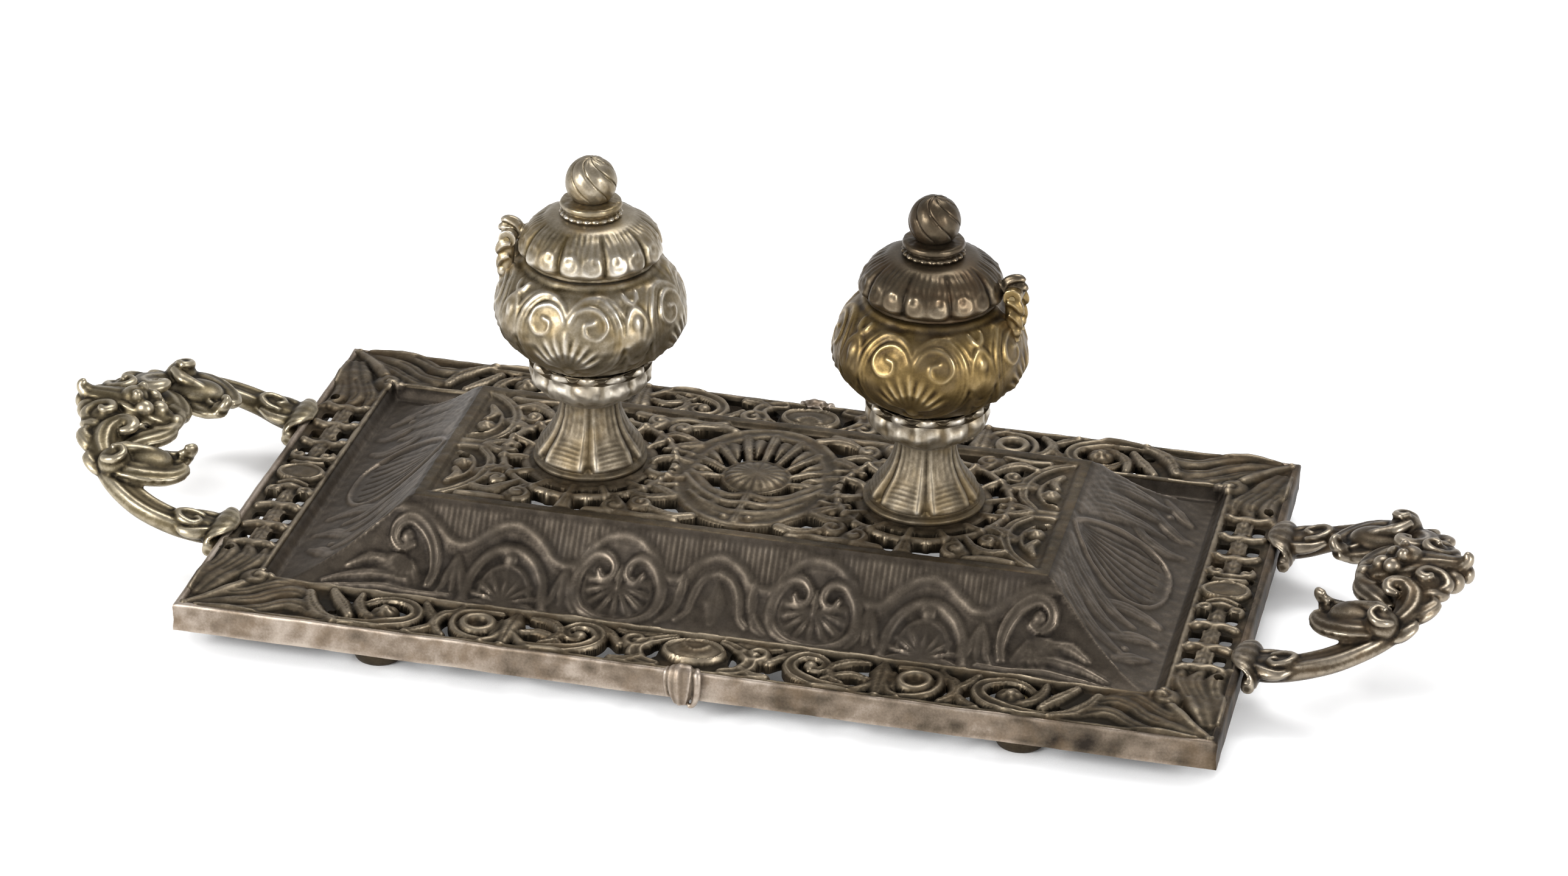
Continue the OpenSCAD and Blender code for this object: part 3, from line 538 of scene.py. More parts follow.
climb_x = (FOOT_X - X) / (FOOT_X - LIP_X)
climb_y = (FOOT_Y - ABS_Y) / (FOOT_Y - LIP_Y)
climb = np.minimum(climb_x, climb_y)  # 0 at the foot of the slopes, 1 at the lip
on_end = (climb > 0) & (climb < 1) & (climb_x < climb_y)
on_front = (climb > 0) & (climb < 1) & (climb_y <= climb_x)
up_front = FRONT_RUN * climb  # millimetres up the front slope
up_end = END_RUN * climb      # and up the end slope
rise = np.clip(np.maximum((X - FOOT_X) / (IN_X - FOOT_X), (ABS_Y - FOOT_Y) / (IN_Y - FOOT_Y)), 0, 1)
inner = np.maximum(X - (LIP_X - LIP_W), ABS_Y - (LIP_Y - LIP_W))  # below 0 on the platform
band = np.maximum(X - IN_X, ABS_Y - IN_Y)                         # above 0 on the bands

ground = GROOVE + (LIP - GROOVE) * np.clip(climb, 0, 1) ** 1.6  # hollow slopes
ground = np.where(climb < 0, GROOVE + RISE * ease(rise), ground)  # from the groove up to the bands
ground = np.where(inner < 0, FLOOR, ground)
ground = np.where((inner >= 0) & (climb >= 1) | (from_urn < SEAT_R), LIP, ground)
ground = blur(ground, 0.9)

# ---- Relief of the bands (one quarter, mirrored) ----

bands = Relief(X, ABS_Y, 1.2)
bands.area([(9, 61.6), (99, 61.6), (99, 77.2), (9, 77.2)], bands.opened)
for y, w, h in ((60.3, 0.85, 1.3), (78.3, 0.8, 0.6)):
    bands.stroke([(0, y), (124, y)], w, h)
bands.stroke([(123.3, 0), (123.3, 61)], 0.85, 1.1)
bands.stroke([(137.2, 0), (137.2, 78)], 0.6, 0.3)
# middle cartouche
bands.disc(0, 69.2, 8.2, 2.2, "flat", ry=5.4)
bands.disc(0, 69.2, 8.8, 2.7, "ring", ry=6, inner=0.78)
bands.fan(0, 64.6, 90, 120, 0.8, 8.6, 9, 2.7)
bands.area([(0, 60), (15, 60), (12, 63), (9.5, 66), (9.5, 72), (13, 76), (15, 79), (0, 79)], bands.filled)
bands.bend([(9.2, 76.8), (13.5, 75.5), (15.4, 71.5), (13.4, 67.2), (9.6, 64), (6.5, 62.2)],
    [1.5, 2.2, 1.6, 1.1], [1.4, 2.2, 1.8], "ribbon")
bands.leaf([(13, 74), (16.5, 76.6), (21, 77)], [1.2, 1.6, 1], 1.9)
bands.stroke(spiral(16.3, 66.6, 4.2, 200, -1.35, 0.6), [1.1, 1.3, 1], [1.9, 2.2])
bands.leaf([(10.5, 62), (14, 62.8), (18, 63.2), (22, 62.2)], [1, 1.5, 0.8], 1.6)
bands.leaf([(20, 70), (22.5, 66.5), (25.5, 63.5), (29, 61.8)], [1, 1.7, 0.9], 1.9)
# C scroll with its eye
bands.bend([(45, 76.6), (39.5, 77.2), (33, 76.2), (27.6, 73), (25.8, 68.6), (28, 64.6), (32.2, 63.8),
    (35, 66.4), (34.2, 69.6), (31.4, 70.2)], [1.2, 1.8, 1.9, 1.7, 1.4, 1.1], [1.6, 2.4, 2.3, 2], "ribbon")
bands.disc(31.2, 68.6, 2.2, 2.6)
bands.leaf([(45.5, 62.4), (41.5, 63), (38.2, 65.2), (36.4, 68.6), (37.4, 72.4), (40.5, 74.6)],
    [0.9, 1.7, 1.4, 0.8], [1.5, 2.3, 1.7])
bands.leaf([(35, 74), (38, 71.2), (42.4, 69.4), (46.5, 70.6)], [0.8, 1.5, 1], 1.9)
# upright leaf
bands.leaf([(49.6, 61), (49.8, 66), (50, 71), (50.2, 78)], [1, 2.9, 2.3, 1.3], [1.4, 2.4, 2.2, 1.4])
bands.bend([(48.6, 72), (46.2, 75), (43.2, 77.4)], [1.2, 1.2, 0.8], 1.7)
bands.bend([(51.6, 72), (53, 75.4), (56, 77.6)], [1.2, 1.2, 0.8], 1.7)
# ring with a round hole
bands.disc(58.9, 69, 5.4, 2.3, "ring", inner=0.42)
bands.bend([(53.8, 62), (56.2, 62.2), (60, 62.4), (64.2, 64), (65.6, 68.4), (64.2, 73.2), (60.4, 76),
    (55.6, 77)], [0.8, 1.2, 1.1, 0.9], [1.4, 2, 1.5])
bands.bend([(53, 66), (53.2, 69.5), (53.8, 73)], [0.9, 0.9], 1.4)
# small heart leaf between ring and scroll
bands.leaf([(66.6, 76.8), (69, 74.2), (70.2, 70.8), (68.8, 66.6), (66.2, 64.6), (64.8, 61.6)],
    [0.9, 1.6, 1.8, 1.1], [1.5, 2.2, 1.6])
bands.leaf([(70.2, 70), (73, 66), (74.8, 62)], [1.2, 1.7, 1], 2)
bands.leaf([(70, 72), (73, 75.5), (76.5, 77.6)], [1, 1.5, 1.1], 1.8)
# large C scroll with a flower eye
bands.bend([(98, 76.4), (92.5, 77.2), (85.5, 76.8), (78.8, 74.2), (75.8, 69.6), (77.4, 65), (82, 62.8),
    (87.2, 63.6), (90.6, 66.8)], [1.2, 1.8, 2, 1.7, 1.3, 0.9], [1.6, 2.4, 2.2, 1.6], "ribbon")
bands.disc(84.2, 69.6, 3.9, 2.6, "rosette", n=5)
bands.leaf([(87, 72.8), (90.2, 70.6), (92.2, 66.8), (92.6, 62)], [1.1, 1.8, 1], 2.1)
bands.bend([(80, 72.6), (84, 74), (88.4, 73.2)], [0.9, 1.1, 0.8], 1.6)
bands.leaf([(93, 73.6), (95.4, 69.4), (98.2, 65.6), (100.5, 62)], [1.2, 2, 1.3], 2.2)
bands.drill(95.6, 64.4, 1.5, 1.1)
bands.drill(98.2, 72, 1.3, 0.9)
bands.leaf([(96, 77.4), (101, 74.6), (104.5, 70), (106.5, 64.5)], [1.3, 2.4, 1.5], 2.3)
bands.area([(94, 77.6), (98, 70), (101, 61), (104, 61), (104, 78)], bands.filled)
# corner acanthus
for pts, w in (
    ([(101.6, 75.8), (106, 71.8), (111.4, 71.6), (116.4, 75.2), (123, 78), (134, 78)],
     [1.2, 2.8, 2.2, 2.1, 1.6, 0.9]),
    ([(104.6, 68.4), (109.4, 65), (115, 66.4), (120, 71), (126, 73.8), (135, 76.6)],
     [1.3, 2.9, 2.3, 2.4, 2, 1.1]),
    ([(109.6, 62.2), (114.6, 61.6), (119.4, 64.4), (124, 68), (129, 70.4), (134.6, 75.4)],
     [1.2, 2.1, 1.9, 2, 1.8, 1.1]),
    ([(137.2, 41.6), (134.6, 47.4), (135, 53.4), (137.2, 60), (138.2, 70)], [1.1, 2.5, 2, 1.9, 0.9]),
    ([(130.6, 43.6), (129.2, 49.4), (131.2, 55), (134, 61.4), (136.6, 71)], [1.3, 2.7, 2.2, 2.2, 1.1]),
    ([(125.4, 45), (125.4, 50), (127.4, 55), (130, 60.4), (134.6, 71)], [1.1, 2, 1.8, 1.9, 1.1]),
):
    rib = curve(pts)
    bands.stroke(rib, w, [1.2, 2, 1.6, 1.9, 1.1])
    bands.stroke(rib[3:-10] + [0.3, 0.6], 0.4, 0.4, "groove")
bands.bend([(121, 58.5), (127, 66.5), (132, 72.5), (137.4, 77.6)], [1.5, 1.8, 1.1], [2, 2.4, 1.4])
bands.disc(122.8, 60.4, 5.2, 2.3)
bands.stroke(spiral(122.8, 60.4, 4, 40, 1.2, 0.5), [0.45, 0.35], 0.6, "groove")
bands.leaf([(111.5, 61.2), (115.6, 62.4), (119.4, 64.6)], [1.2, 1.8, 1], 1.6)
bands.leaf([(124, 49), (125.6, 53), (128, 57)], [1.1, 1.7, 1], 1.6)
# end band
bands.disc(130.2, 0, 6.6, 2, "flat", ry=4.3)
bands.disc(130.2, 0, 7, 2.4, "ring", ry=4.8, inner=0.74)
for y0 in (5.9, 8.6):
    bands.bend([(124.6, y0 + 2), (127.2, y0 + 0.2), (130.2, y0 - 0.4), (133.2, y0 + 0.2), (136, y0 + 2)],
        [0.8, 1.3, 0.8], [1.4, 2.3, 1.4])
bands.stroke(spiral(126.2, 10.6, 2.4, 90, 1.1, 0.4), [0.8, 0.9], 2.2)
bands.stroke(spiral(134.2, 10.8, 2.3, 90, -1.1, 0.4), [0.8, 0.9], 2)
bands.leaf([(130.2, 8), (130, 14), (130, 20), (129.6, 27), (129.6, 34), (129.4, 42)],
    [1.2, 2, 1.3, 2, 1.3, 1.9, 1.3], [1.4, 1.9, 1.4, 1.9, 1.4, 1.9], veins=3)
for y0 in (19.2, 30.8, 42):
    bands.bend([(124.4, y0 + 1.2), (127, y0 - 0.3), (129.8, y0 + 0.3), (132.6, y0 - 0.3), (136, y0 + 1.2)],
        [1, 1.5, 1], 1.9)
    bands.disc(125, y0 + 0.6, 1.5, 2.2)
    bands.disc(135.2, y0 + 0.6, 1.4, 2)
for y0 in (14.4, 25.4, 36.6):
    for hole_x, width, bar_x in ((125.7, 1.9, 127.7), (133.9, 1.8, 131.8)):
        bands.drill(hole_x, y0, width, 2.5, square=True)
        bands.stroke([(bar_x, y0 - 3), (bar_x, y0 + 3)], 0.5, 1.2, fill=False)
bands.drill(135.6, 7.4, 1.2, 1)
bands.drill(124.8, 7, 1.1, 0.9)
bands.drill(135.2, 47, 1.4, 1.8)

# ---- Relief of the front and back slopes ----

HEART_X, ARCH_X = 26.8, 57.2  # middle of the heart and of the arch

slopes = Relief(X, up_front)
ribbon = curve([(-13, 18.8), (-9, 19.8), (-5.6, 23.4), (0, 25.4), (5.6, 23.4), (9, 19.8), (13, 18.8),
    (16.2, 20.4), (18.6, 24), (22.4, 26.6), (26.8, 27.5), (31.2, 26.6), (35, 24), (37.4, 20.4),
    (40.8, 18.7), (45, 19.6), (49, 23.2), (53, 25.8), (57.2, 26.8), (61.4, 25.8), (65.6, 22.8),
    (69.6, 20.6), (74, 21.2), (78.4, 24.2), (83, 26.8), (90, 27.8)])
slopes.stroke(ribbon, 1.35, 0.62)
slopes.stroke(ribbon - [0, 2.3], 0.45, 0.25)
# reeding between the ribbon and the lip
reeds = 0.30 * np.sqrt(np.abs(np.sin(np.pi * slopes.x / 1.55)))
above_ribbon = slopes.y > np.interp(slopes.x, *ribbon.T) + 1.4
slopes.h += np.where(above_ribbon & (slopes.y < 29.2) & (slopes.x < 84), reeds, 0)
# tongue in the middle, with a leaf beside it
slopes.bend([(0, 21.6), (4, 20), (6.2, 15.6), (7.2, 10.4), (9.6, 7.2)], [1.1, 1.3, 1], 0.6)
slopes.stroke([(0, 19), (0, 8)], [0.8, 3, 1.6], [0.3, 0.6, 0.4], "leaf")
slopes.leaf([(9.6, 20), (9.8, 16), (10.4, 12), (12, 8), (14.5, 5.5)], [1.2, 1.6, 1.2, 1.7, 0.9],
    [0.9, 0.6, 0.8, 0.5])
# heart frame: two horns that roll in over a shell
heart = curve([(0, 3.4), (5.2, 4.2), (9.4, 7.2), (11.6, 12), (11.2, 17.4), (8.4, 21.6), (4.8, 22.6),
    (2, 20.6), (2.2, 17.6), (4.6, 16.6), (6, 18.4)])
slopes.folded(HEART_X).stroke(heart, [0.8, 1.4, 1.7, 1.6, 1.2, 0.9], [0.55, 0.8, 0.85, 0.95, 1])
slopes.folded(HEART_X).stroke(heart[:30] * [0.78, 0.84] + [0, 1.9], 0.4, 0.35)
slopes.fan(HEART_X, 15.2, -90, 200, 0.6, 10.2, 9, 0.85, 1.05)
slopes.stroke([(HEART_X, 14), (HEART_X, 20)], [0.6, 1.2, 0.5], 0.9, "leaf")
# spandrels
for x0 in (41.6, 71.6):
    slopes.folded(x0).bend([(0.4, 17), (1.8, 12.6), (2.8, 8), (4.6, 4.6)], [0.8, 1.2, 1, 0.6],
        [0.6, 0.7, 0.5])
    slopes.stroke([(x0, 16.5), (x0, 7)], [0.8, 1.4, 0.6], [0.7, 0.7, 0.4])
# arch over a domed shell
for r, w, h, foot in ((10.4, 1.5, 0.7, 3.6), (6.6, 0.7, 0.6, 7), (5, 0.6, 0.5, 7), (3.4, 0.6, 0.4, 7)):
    bow = polar(np.linspace(0, 180, 25), r, 1.15 * r, ARCH_X, 9)
    side_x = r * 1.08
    slopes.stroke([(ARCH_X + side_x, foot), *bow, (ARCH_X - side_x, foot)], w, h)
slopes.disc(ARCH_X, 18.4, 2, 0.9)
slopes.disc(ARCH_X, 8.4, 6.4, 0.7, ry=8)
slopes.fan(ARCH_X, 4.4, 90, 140, 1, 11, 7, 1.3, 0.85)
slopes.folded(ARCH_X).bend([(9.6, 3), (6.8, 4.4), (3.4, 4), (0, 2.8)], [0.6, 1.1, 0.8], 0.5)
# corner scroll
slopes.bend([(78.2, 8), (77.4, 13), (78.4, 18.6), (81.4, 23), (85.8, 25.2), (89.4, 23.4), (89.8, 19.8),
    (87.2, 17.6), (84.6, 19)], [1.2, 1.8, 1.9, 1.6, 1], [0.9, 1.1, 1], "ribbon")
slopes.disc(86.4, 20.8, 1.9, 1.1)
slopes.fan(84.6, 15.8, -62, 100, 1.5, 9.5, 7, 0.9)
slopes.bend([(72, 5), (80, 4.4), (90, 5.4), (99, 4), (108, 2.2)], [0.9, 1.2, 0.8], 0.8)
slopes.leaf([(84, 8.6), (92, 9.6), (100, 8), (107, 4.6)], [0.8, 1.5, 0.8], 0.9)
slopes.leaf([(89.6, 14), (95.4, 14.2), (101, 11)], [0.8, 1.6, 0.8], 0.9)

# ---- Relief of the end slopes ----

ends = Relief(ABS_Y, up_end)
# middle lobe
lobe = curve([(0, 36.5), (5, 34), (11.4, 28.6), (15.2, 22), (15.6, 15.5), (12.4, 9.6), (6.4, 6.4),
    (0, 5.6)])
ends.stroke(lobe, [1.1, 1.4, 1.1], 0.75, "soft")
ends.stroke(lobe * [0.86, 0.98] + [0, 0.2], [0.5, 0.6, 0.5], 0.4, "groove")
for k in range(-3, 4):
    ends.bend([(k * 0.8, 34), (k * 2.4, 26), (k * 3.7, 18), (k * 3.9, 10)], [0.5, 0.9, 0.6], 0.4, "groove")
# leaves beside it
for pts, w in (
    ([(7, 36.5), (14, 33), (20, 27.5), (24.6, 20), (26, 12)], [1, 2.6, 2.2, 0.8]),
    ([(12.5, 37), (20, 34), (26.4, 28.6), (31, 21), (33, 12.6)], [1, 2.8, 2.2, 0.8]),
    ([(20, 37), (27, 34.6), (33.6, 29.6), (38.4, 22.4), (41, 13.4)], [1, 2.6, 2.2, 0.9]),
    ([(28, 36.8), (34, 34.6), (40, 30), (45.4, 23), (49.5, 13)], [1, 2.4, 2.4, 0.9]),
    ([(23, 22), (19.5, 16), (18.6, 9.6), (20, 4.6)], [1.2, 2.2, 1]),
    ([(36, 17), (31.5, 12), (29.4, 7), (29.6, 3.4)], [1, 2, 1]),
    ([(45, 14), (41, 9.4), (38.6, 5)], [1, 1.9, 0.9]),
):
    ends.bend(pts, np.array(w) * 1.35, [0.4, 0.9, 0.6], "reed", veins=1.5)
ends.disc(30, 26, 1.5, 0.8)
ends.disc(38, 12, 1.3, 0.6)

# ---- Relief of the platform (one half, mirrored in x) ----

plate = Relief(X, Y, 1.22)
plate.area([(-1, -29.6), (70, -29.6), (70, 29.6), (-1, 29.6)], plate.opened)
plate.area(polar(np.linspace(0, 360, 60), 17.2, cx=URN), plate.filled)
# oval ring round the rosette
plate.stroke(polar(np.linspace(-95, 95, 60), 20, 26.2, cy=1), 2.7, 0.9, "ribbon")
plate.disc(0, 0.6, 9, 2.3, "fluted", n=18)
plate.disc(0, 0.6, 9.9, 0.8, "ring", inner=0.88)
for deg in range(-6, 91, 24):
    plate.stroke([polar(deg, 9), polar(deg, 19, 24.4, cy=1)], [0.8, 1.2, 1.5], [1, 1.5, 1], "leaf")
for deg in range(6, 79, 24):
    plate.stroke([polar(deg, 12.5), polar(deg, 17.4, 20.5, cy=1)], [0.3, 1.1, 1.6], [0.8, 1.3, 1])
# crescents below
plate.bend([(0, -9.4), (5.2, -11.2), (10.6, -9.2), (14.4, -4.6), (18, 0)], [1.2, 1.6, 1.2], 1.1)
plate.bend([(0, -15.2), (5.6, -15.4), (11.4, -12.4), (16.6, -6.6), (19, -3)], [1.3, 1.6, 1.1], 1.3)
plate.bend([(0, -20.6), (5, -20), (11, -16.8), (15.6, -12.2)], [1.6, 1.6, 1], 1.1)
plate.bend([(7, -11.2), (7.8, -15.6), (7.4, -20.2)], [1.2, 1.4, 1.2], 1)
plate.bend([(13, -6.6), (13.8, -10), (13.4, -13.8)], [1, 1.2, 1], 1)
plate.stroke([(0, -8), (0, -26)], [1.5, 1.1, 1.5], 1.2, "leaf")
plate.disc(3.4, -23.6, 1.5, 1.4)
# scrolls between the ring and the gallery, before and behind
both = plate.folded()
both.leaf([(19, 14.8), (22.6, 17.6), (26.6, 18.8), (30.2, 17.2), (31.2, 13.6)], [1.2, 1.7, 1.1],
    [1.1, 1.8, 1.3])
both.stroke(spiral(26.4, 22.8, 3.3, -90, 1.3, 0.5), [1, 1.2], [1.3, 1.8])
both.leaf([(12, 25.6), (16.4, 27.2), (21, 26.2), (24, 24.2)], [1.3, 1.6, 1], 1.6)
both.bend([(16, 29.6), (20.4, 28.4), (26, 29), (33, 28), (40, 29.6)], [1.4, 1.5, 1.4], 1.1)
both.leaf([(19.6, 5), (23.4, 5.6), (27.6, 4.6), (30.8, 2.2)], [1.4, 1.5, 1.3], [1.3, 1.7, 1.3])
both.bend([(20, 9.4), (23.8, 10.4), (28, 9.8)], [0.9, 1.2, 0.9], 1.3)
both.disc(24.9, 8, 1.3, 1.9)
both.drill(23, 2, 1.1, 0.8)
# gallery round the urn's foot: two rings, spokes and beads
for r, w, h in ((17.6, 1.1, 0.5), (23.6, 1.1, 1.5)):
    plate.stroke(polar(np.linspace(0, 360, 90), r, cx=URN), w, h)
for k in range(SPOKES):
    deg = 360 * (k + 0.5) / SPOKES
    plate.stroke([polar(deg, 16.6, cx=URN), polar(deg, 24, cx=URN)], [0.8, 0.95, 1.3], [0.9, 1.5, 1.8])
    plate.disc(*polar(deg, 23.4, cx=URN), 1.6, 2.1)
    plate.disc(*polar(deg + 180 / SPOKES, 24.4, cx=URN), 1.2, 1.7)
# webs from the gallery to the lips
for deg in range(30, 151, 30):
    both.stroke([polar(deg, 23, cx=URN), polar(deg, 31, cx=URN)], [1.2, 1.8, 2.2], [1.5, 1.8, 1.2], "leaf")
for sx in (-1, 1):
    both.stroke(spiral(URN + sx * 13.5, 25.6, 3.2, 90, 1.2 * sx, 0.4), [0.9, 1.2], [1.3, 1.9])
# the two lobes at the end
lobe = [(84, 1.5), (76.5, 2.6), (72.6, 8), (71.8, 15.4), (74, 22.4), (78, 27.4), (82.5, 31), (84, 31)]
both.area(lobe, both.filled)
both.bend(lobe[1:-1], [1, 1.4, 1], [1.2, 1.6, 1], "ribbon")
both.bend([(82.4, 5.5), (78.4, 7.6), (76.2, 12.8), (77.2, 18.6), (80.6, 23.4)], [0.5, 0.8, 0.4], 0.9)
both.disc(79.6, 11.6, 2.8, 1.6, "rosette", n=6)
both.leaf([(80.6, 15.4), (79.2, 18.8), (81.2, 23)], [1, 1.4, 0.6], 1.2)
both.drill(80.4, 7.4, 1.7, 1.2)
both.leaf([(72.4, 13.6), (70, 12.2), (66.4, 13.4)], 1.2, 1.6)
both.leaf([(73.6, 24), (69, 25.6), (65, 23.4), (62.6, 20)], [1.1, 1.8, 1.1], 1.8)
both.bend([(76, 29.4), (70.4, 28.6), (64, 29.6)], [1.2, 1.5, 1.2], 1.3)
both.stroke(spiral(68, 18.8, 2.8, 0, -1.2, 0.4), [0.8, 1.1], [1.2, 1.7])
for sy in (1, -1):
    plate.leaf([(76, 0), (72.5, 2.2 * sy), (68, 1.6 * sy)], [1.4, 1.5, 1.2], 1.6)
both.stroke([(84, 0), (75.5, 0)], 2.4, 1, "ribbon")

# ---- The relief on the ground, cut into pieces ----


def whole(a):
    """Both halves of the tray from its right half."""
    return np.concatenate([a[:0:-1], a])


# every relief fades out towards the edges of its field
relief = np.zeros_like(ground)
fade = ease(np.minimum((up_front - 0.5) / 2.5, (FRONT_RUN - 0.6 - up_front) / 0.8))
relief[on_front] = (slopes.height() * fade)[on_front]
fade = ease(np.minimum((up_end - 0.5) / 3.5, (END_RUN - 0.6 - up_end) / 0.8))
relief[on_end] = (ends.height() * fade * ease((FOOT_Y - 2.5 - ABS_Y) / 6))[on_end]
from_edge = np.minimum(HALF_X - X, HALF_Y - ABS_Y)
sunk = 0.7 * ease((band - 0.5) / 1.5) * ease((from_edge - 1.6) / 0.8)  # the bands' ground
relief = np.where(band > -1, 0.85 * bands.height() * ease((band + 0.9) / 0.9) - sunk, relief)
relief = np.where(inner < 0, plate.height() * ease(-inner / 0.8), relief)
relief = blur(relief * (1 - ease((SEAT_R + 0.5 - from_urn) / 0.5)), 0.55)

hole = np.where(band > -1, bands.hole(), UNTOUCHED)
hole = np.where(inner < 0, np.where(inner < -1.2, plate.hole(), -1), hole)
HOLE = whole(blur(hole, 0.7))

ALL_X, ALL_Y = np.meshgrid(XS, YS, indexing="ij")
GROUND = whole(ground)
RELIEF = whole(relief) * (1 + 0.10 * waves(ALL_X, ALL_Y, 3, 14))
RELIEF += 0.05 * waves(ALL_X, ALL_Y, 5, 5)
RELIEF += 0.10 * waves(ALL_X, ALL_Y, 9, 40)
base = np.stack([ALL_X, ALL_Y, GROUND], -1)
soft_base = np.stack([ALL_X, ALL_Y, blur(GROUND, 2.0)], -1)
NORMAL = np.cross(np.gradient(soft_base, axis=0), np.gradient(soft_base, axis=1))
NORMAL /= np.linalg.norm(NORMAL, axis=-1, keepdims=True)
TOP = base + NORMAL * RELIEF[..., None]
UNDER = base.copy()
UNDER[..., 2] -= WALL * np.clip(1 / np.maximum(NORMAL[..., 2], 0.4), 1, 2.2)
UNDER[..., 2] = np.where(whole(inner) < 0, FLOOR - PLATE, UNDER[..., 2])

# rubbed where it stands proud, lighter on the lip and the end slopes, and painted light on the shaded wall
# at the end bands' inner edge
WEAR_AND_PAINTED_LIGHT = wear_of(RELIEF, 0.75, 0.35, PITCH) - 0.45
WEAR_AND_PAINTED_LIGHT = np.where(whole(climb) < 0, 0.46 + 0.95 * WEAR_AND_PAINTED_LIGHT, 0.43 + 0.80 * WEAR_AND_PAINTED_LIGHT)
WEAR_AND_PAINTED_LIGHT += whole(0.24 * ((climb < 0) & (rise < 1) & (X > FOOT_X)) + 0.18 * on_end + 0.10 * (climb >= 1))
# a little darker to the right on the platform, and on the right of the front band
WEAR_AND_PAINTED_LIGHT -= 0.05 * np.tanh(ALL_X / 50) * (whole(climb) >= 1)
WEAR_AND_PAINTED_LIGHT -= 0.16 * ease((ALL_X - 15) / 50) * ease((135 - ALL_X) / 20) * (ALL_Y < -IN_Y)

cx, cy = [(grid[:-1, :-1] + grid[1:, 1:]) / 2 for grid in (ALL_X, ALL_Y)]  # cell centres
on_rim = (np.abs(cx) > IN_X) | (np.abs(cy) > IN_Y)
on_top = (np.abs(cx) < LIP_X) & (np.abs(cy) < LIP_Y)
on_slope = ~on_rim & ~on_top
for name, keep, material in (
    ("rim_front", on_rim & (np.abs(cx) < END_X) & (cy < 0), BRONZE),
    ("rim_back", on_rim & (np.abs(cx) < END_X) & (cy > 0), BRONZE),
    ("rim_left", on_rim & (cx < -END_X), BRONZE),
    ("rim_right", on_rim & (cx > END_X), BRONZE),
    ("slope_front", on_slope & (np.abs(cx) < LIP_X) & (cy < 0), SLOPE),
    ("slope_back", on_slope & (np.abs(cx) < LIP_X) & (cy > 0), SLOPE),
    ("slope_left", on_slope & (cx < -LIP_X), SLOPE),
    ("slope_right", on_slope & (cx > LIP_X), SLOPE),
    ("platform_middle", on_top & (np.abs(cx) < MID_X), BRONZE),
    ("platform_left", on_top & (cx < -MID_X), BRONZE),
    ("platform_right", on_top & (cx > MID_X), BRONZE),
):
    i, j = np.nonzero(keep)
    cut = np.s_[i.min():i.max() + 2, j.min():j.max() + 2]
    shell(name, TOP[cut], UNDER[cut], keep=keep[i.min():i.max() + 1, j.min():j.max() + 1],
          hole=HOLE[cut], wear_and_painted_light=WEAR_AND_PAINTED_LIGHT[cut], under_wear=0.12, body="stand", node="tray", material=material)

# ---- Free forms: tubes and leaves joined in a voxel mesh ----


def capped(rings, start, end):
    """A closed surface over rings of points, drawn together to a point at either end."""
    m, s = rings.shape[:2]
    q = np.arange(s)
    after = (q + 1) % s
    i, j = [np.arange(m - 1)[:, None] * s + side for side in (q, after)]
    last = (m - 1) * s
    faces = [np.stack([i, j, j + s], -1).reshape(-1, 3),
             np.stack([i, j + s, i + s], -1).reshape(-1, 3),
             np.stack([after, q, np.full(s, m * s)], -1),
             np.stack([last + q, last + after, np.full(s, m * s + 1)], -1)]
    return np.vstack([rings.reshape(-1, 3), start, end]), np.vstack(faces)


def tube(rows, sides=20, n=5, flutes=0, depth=0.0, up=(0, 0, 1)):
    """A solid swept along rows of [x, y, z, half width, half height], with flutes round it."""
    r = curve(rows, n)
    at = r[:, :3]
    run = np.gradient(at, axis=0)
    run /= np.linalg.norm(run, axis=1, keepdims=True)
    side = np.cross(run, up)
    side /= np.maximum(np.linalg.norm(side, axis=1, keepdims=True), 1e-6)
    top = np.cross(side, run)
    a = circle(sides)
    ripple = 1 + depth * np.cos(flutes * a)
    rings = (at[:, None] + side[:, None] * (r[:, 3:4] * np.cos(a) * ripple)[..., None]
             + top[:, None] * (r[:, 4:5] * np.sin(a) * ripple)[..., None])
    return capped(rings, at[0], at[-1])


def ball(x, y, z, rx, ry=None, rz=None, n=14):
    """An ellipsoid with half axes rx, ry and rz."""
    half = np.array([rx, ry or rx, rz or rx])
    u = np.linspace(0, np.pi, n)[1:-1, None]
    a = circle(2 * n)
    unit = np.stack([np.sin(u) * np.cos(a), np.sin(u) * np.sin(a), -np.cos(u) + 0 * a], -1)
    at = np.array([x, y, z])
    pole = np.array([0, 0, half[2]])
    return capped(at + half * unit, at - pole, at + pole)


def sculpt(name, parts, body, node, material, voxel, at_x=0.0, mirrored=False, base=0.45):
    """Joins parts in one closed mesh and softens it as a casting is."""
    verts, faces, count = [], [], 0
    for v, f in parts:
        verts.append(v)
        faces.append(f + count)
        count += len(v)
    v = np.vstack(verts) + [at_x, 0, 0]
    f = np.vstack(faces)
    if mirrored:
        v = v * [-1, 1, 1]
        f = f[:, ::-1]
    raw = bpy.data.meshes.new(name + "_raw")
    raw.from_pydata((v * MM).tolist(), [], f.tolist())
    tmp = bpy.data.objects.new(name + "_raw", raw)
    bpy.context.scene.collection.objects.link(tmp)
    remesh = tmp.modifiers.new("voxels", "REMESH")
    remesh.mode = "VOXEL"
    remesh.voxel_size = voxel * MM * 1
    smooth = tmp.modifiers.new("soften", "SMOOTH")
    smooth.factor = 0.5
    smooth.iterations = 1
    depsgraph = bpy.context.evaluated_depsgraph_get()
    mesh = bpy.data.meshes.new_from_object(tmp.evaluated_get(depsgraph))
    mesh.name = name
    bpy.data.objects.remove(tmp)
    mesh.shade_smooth()
    mesh_wear(mesh, base)
    add_piece(name, mesh, body, node, material)


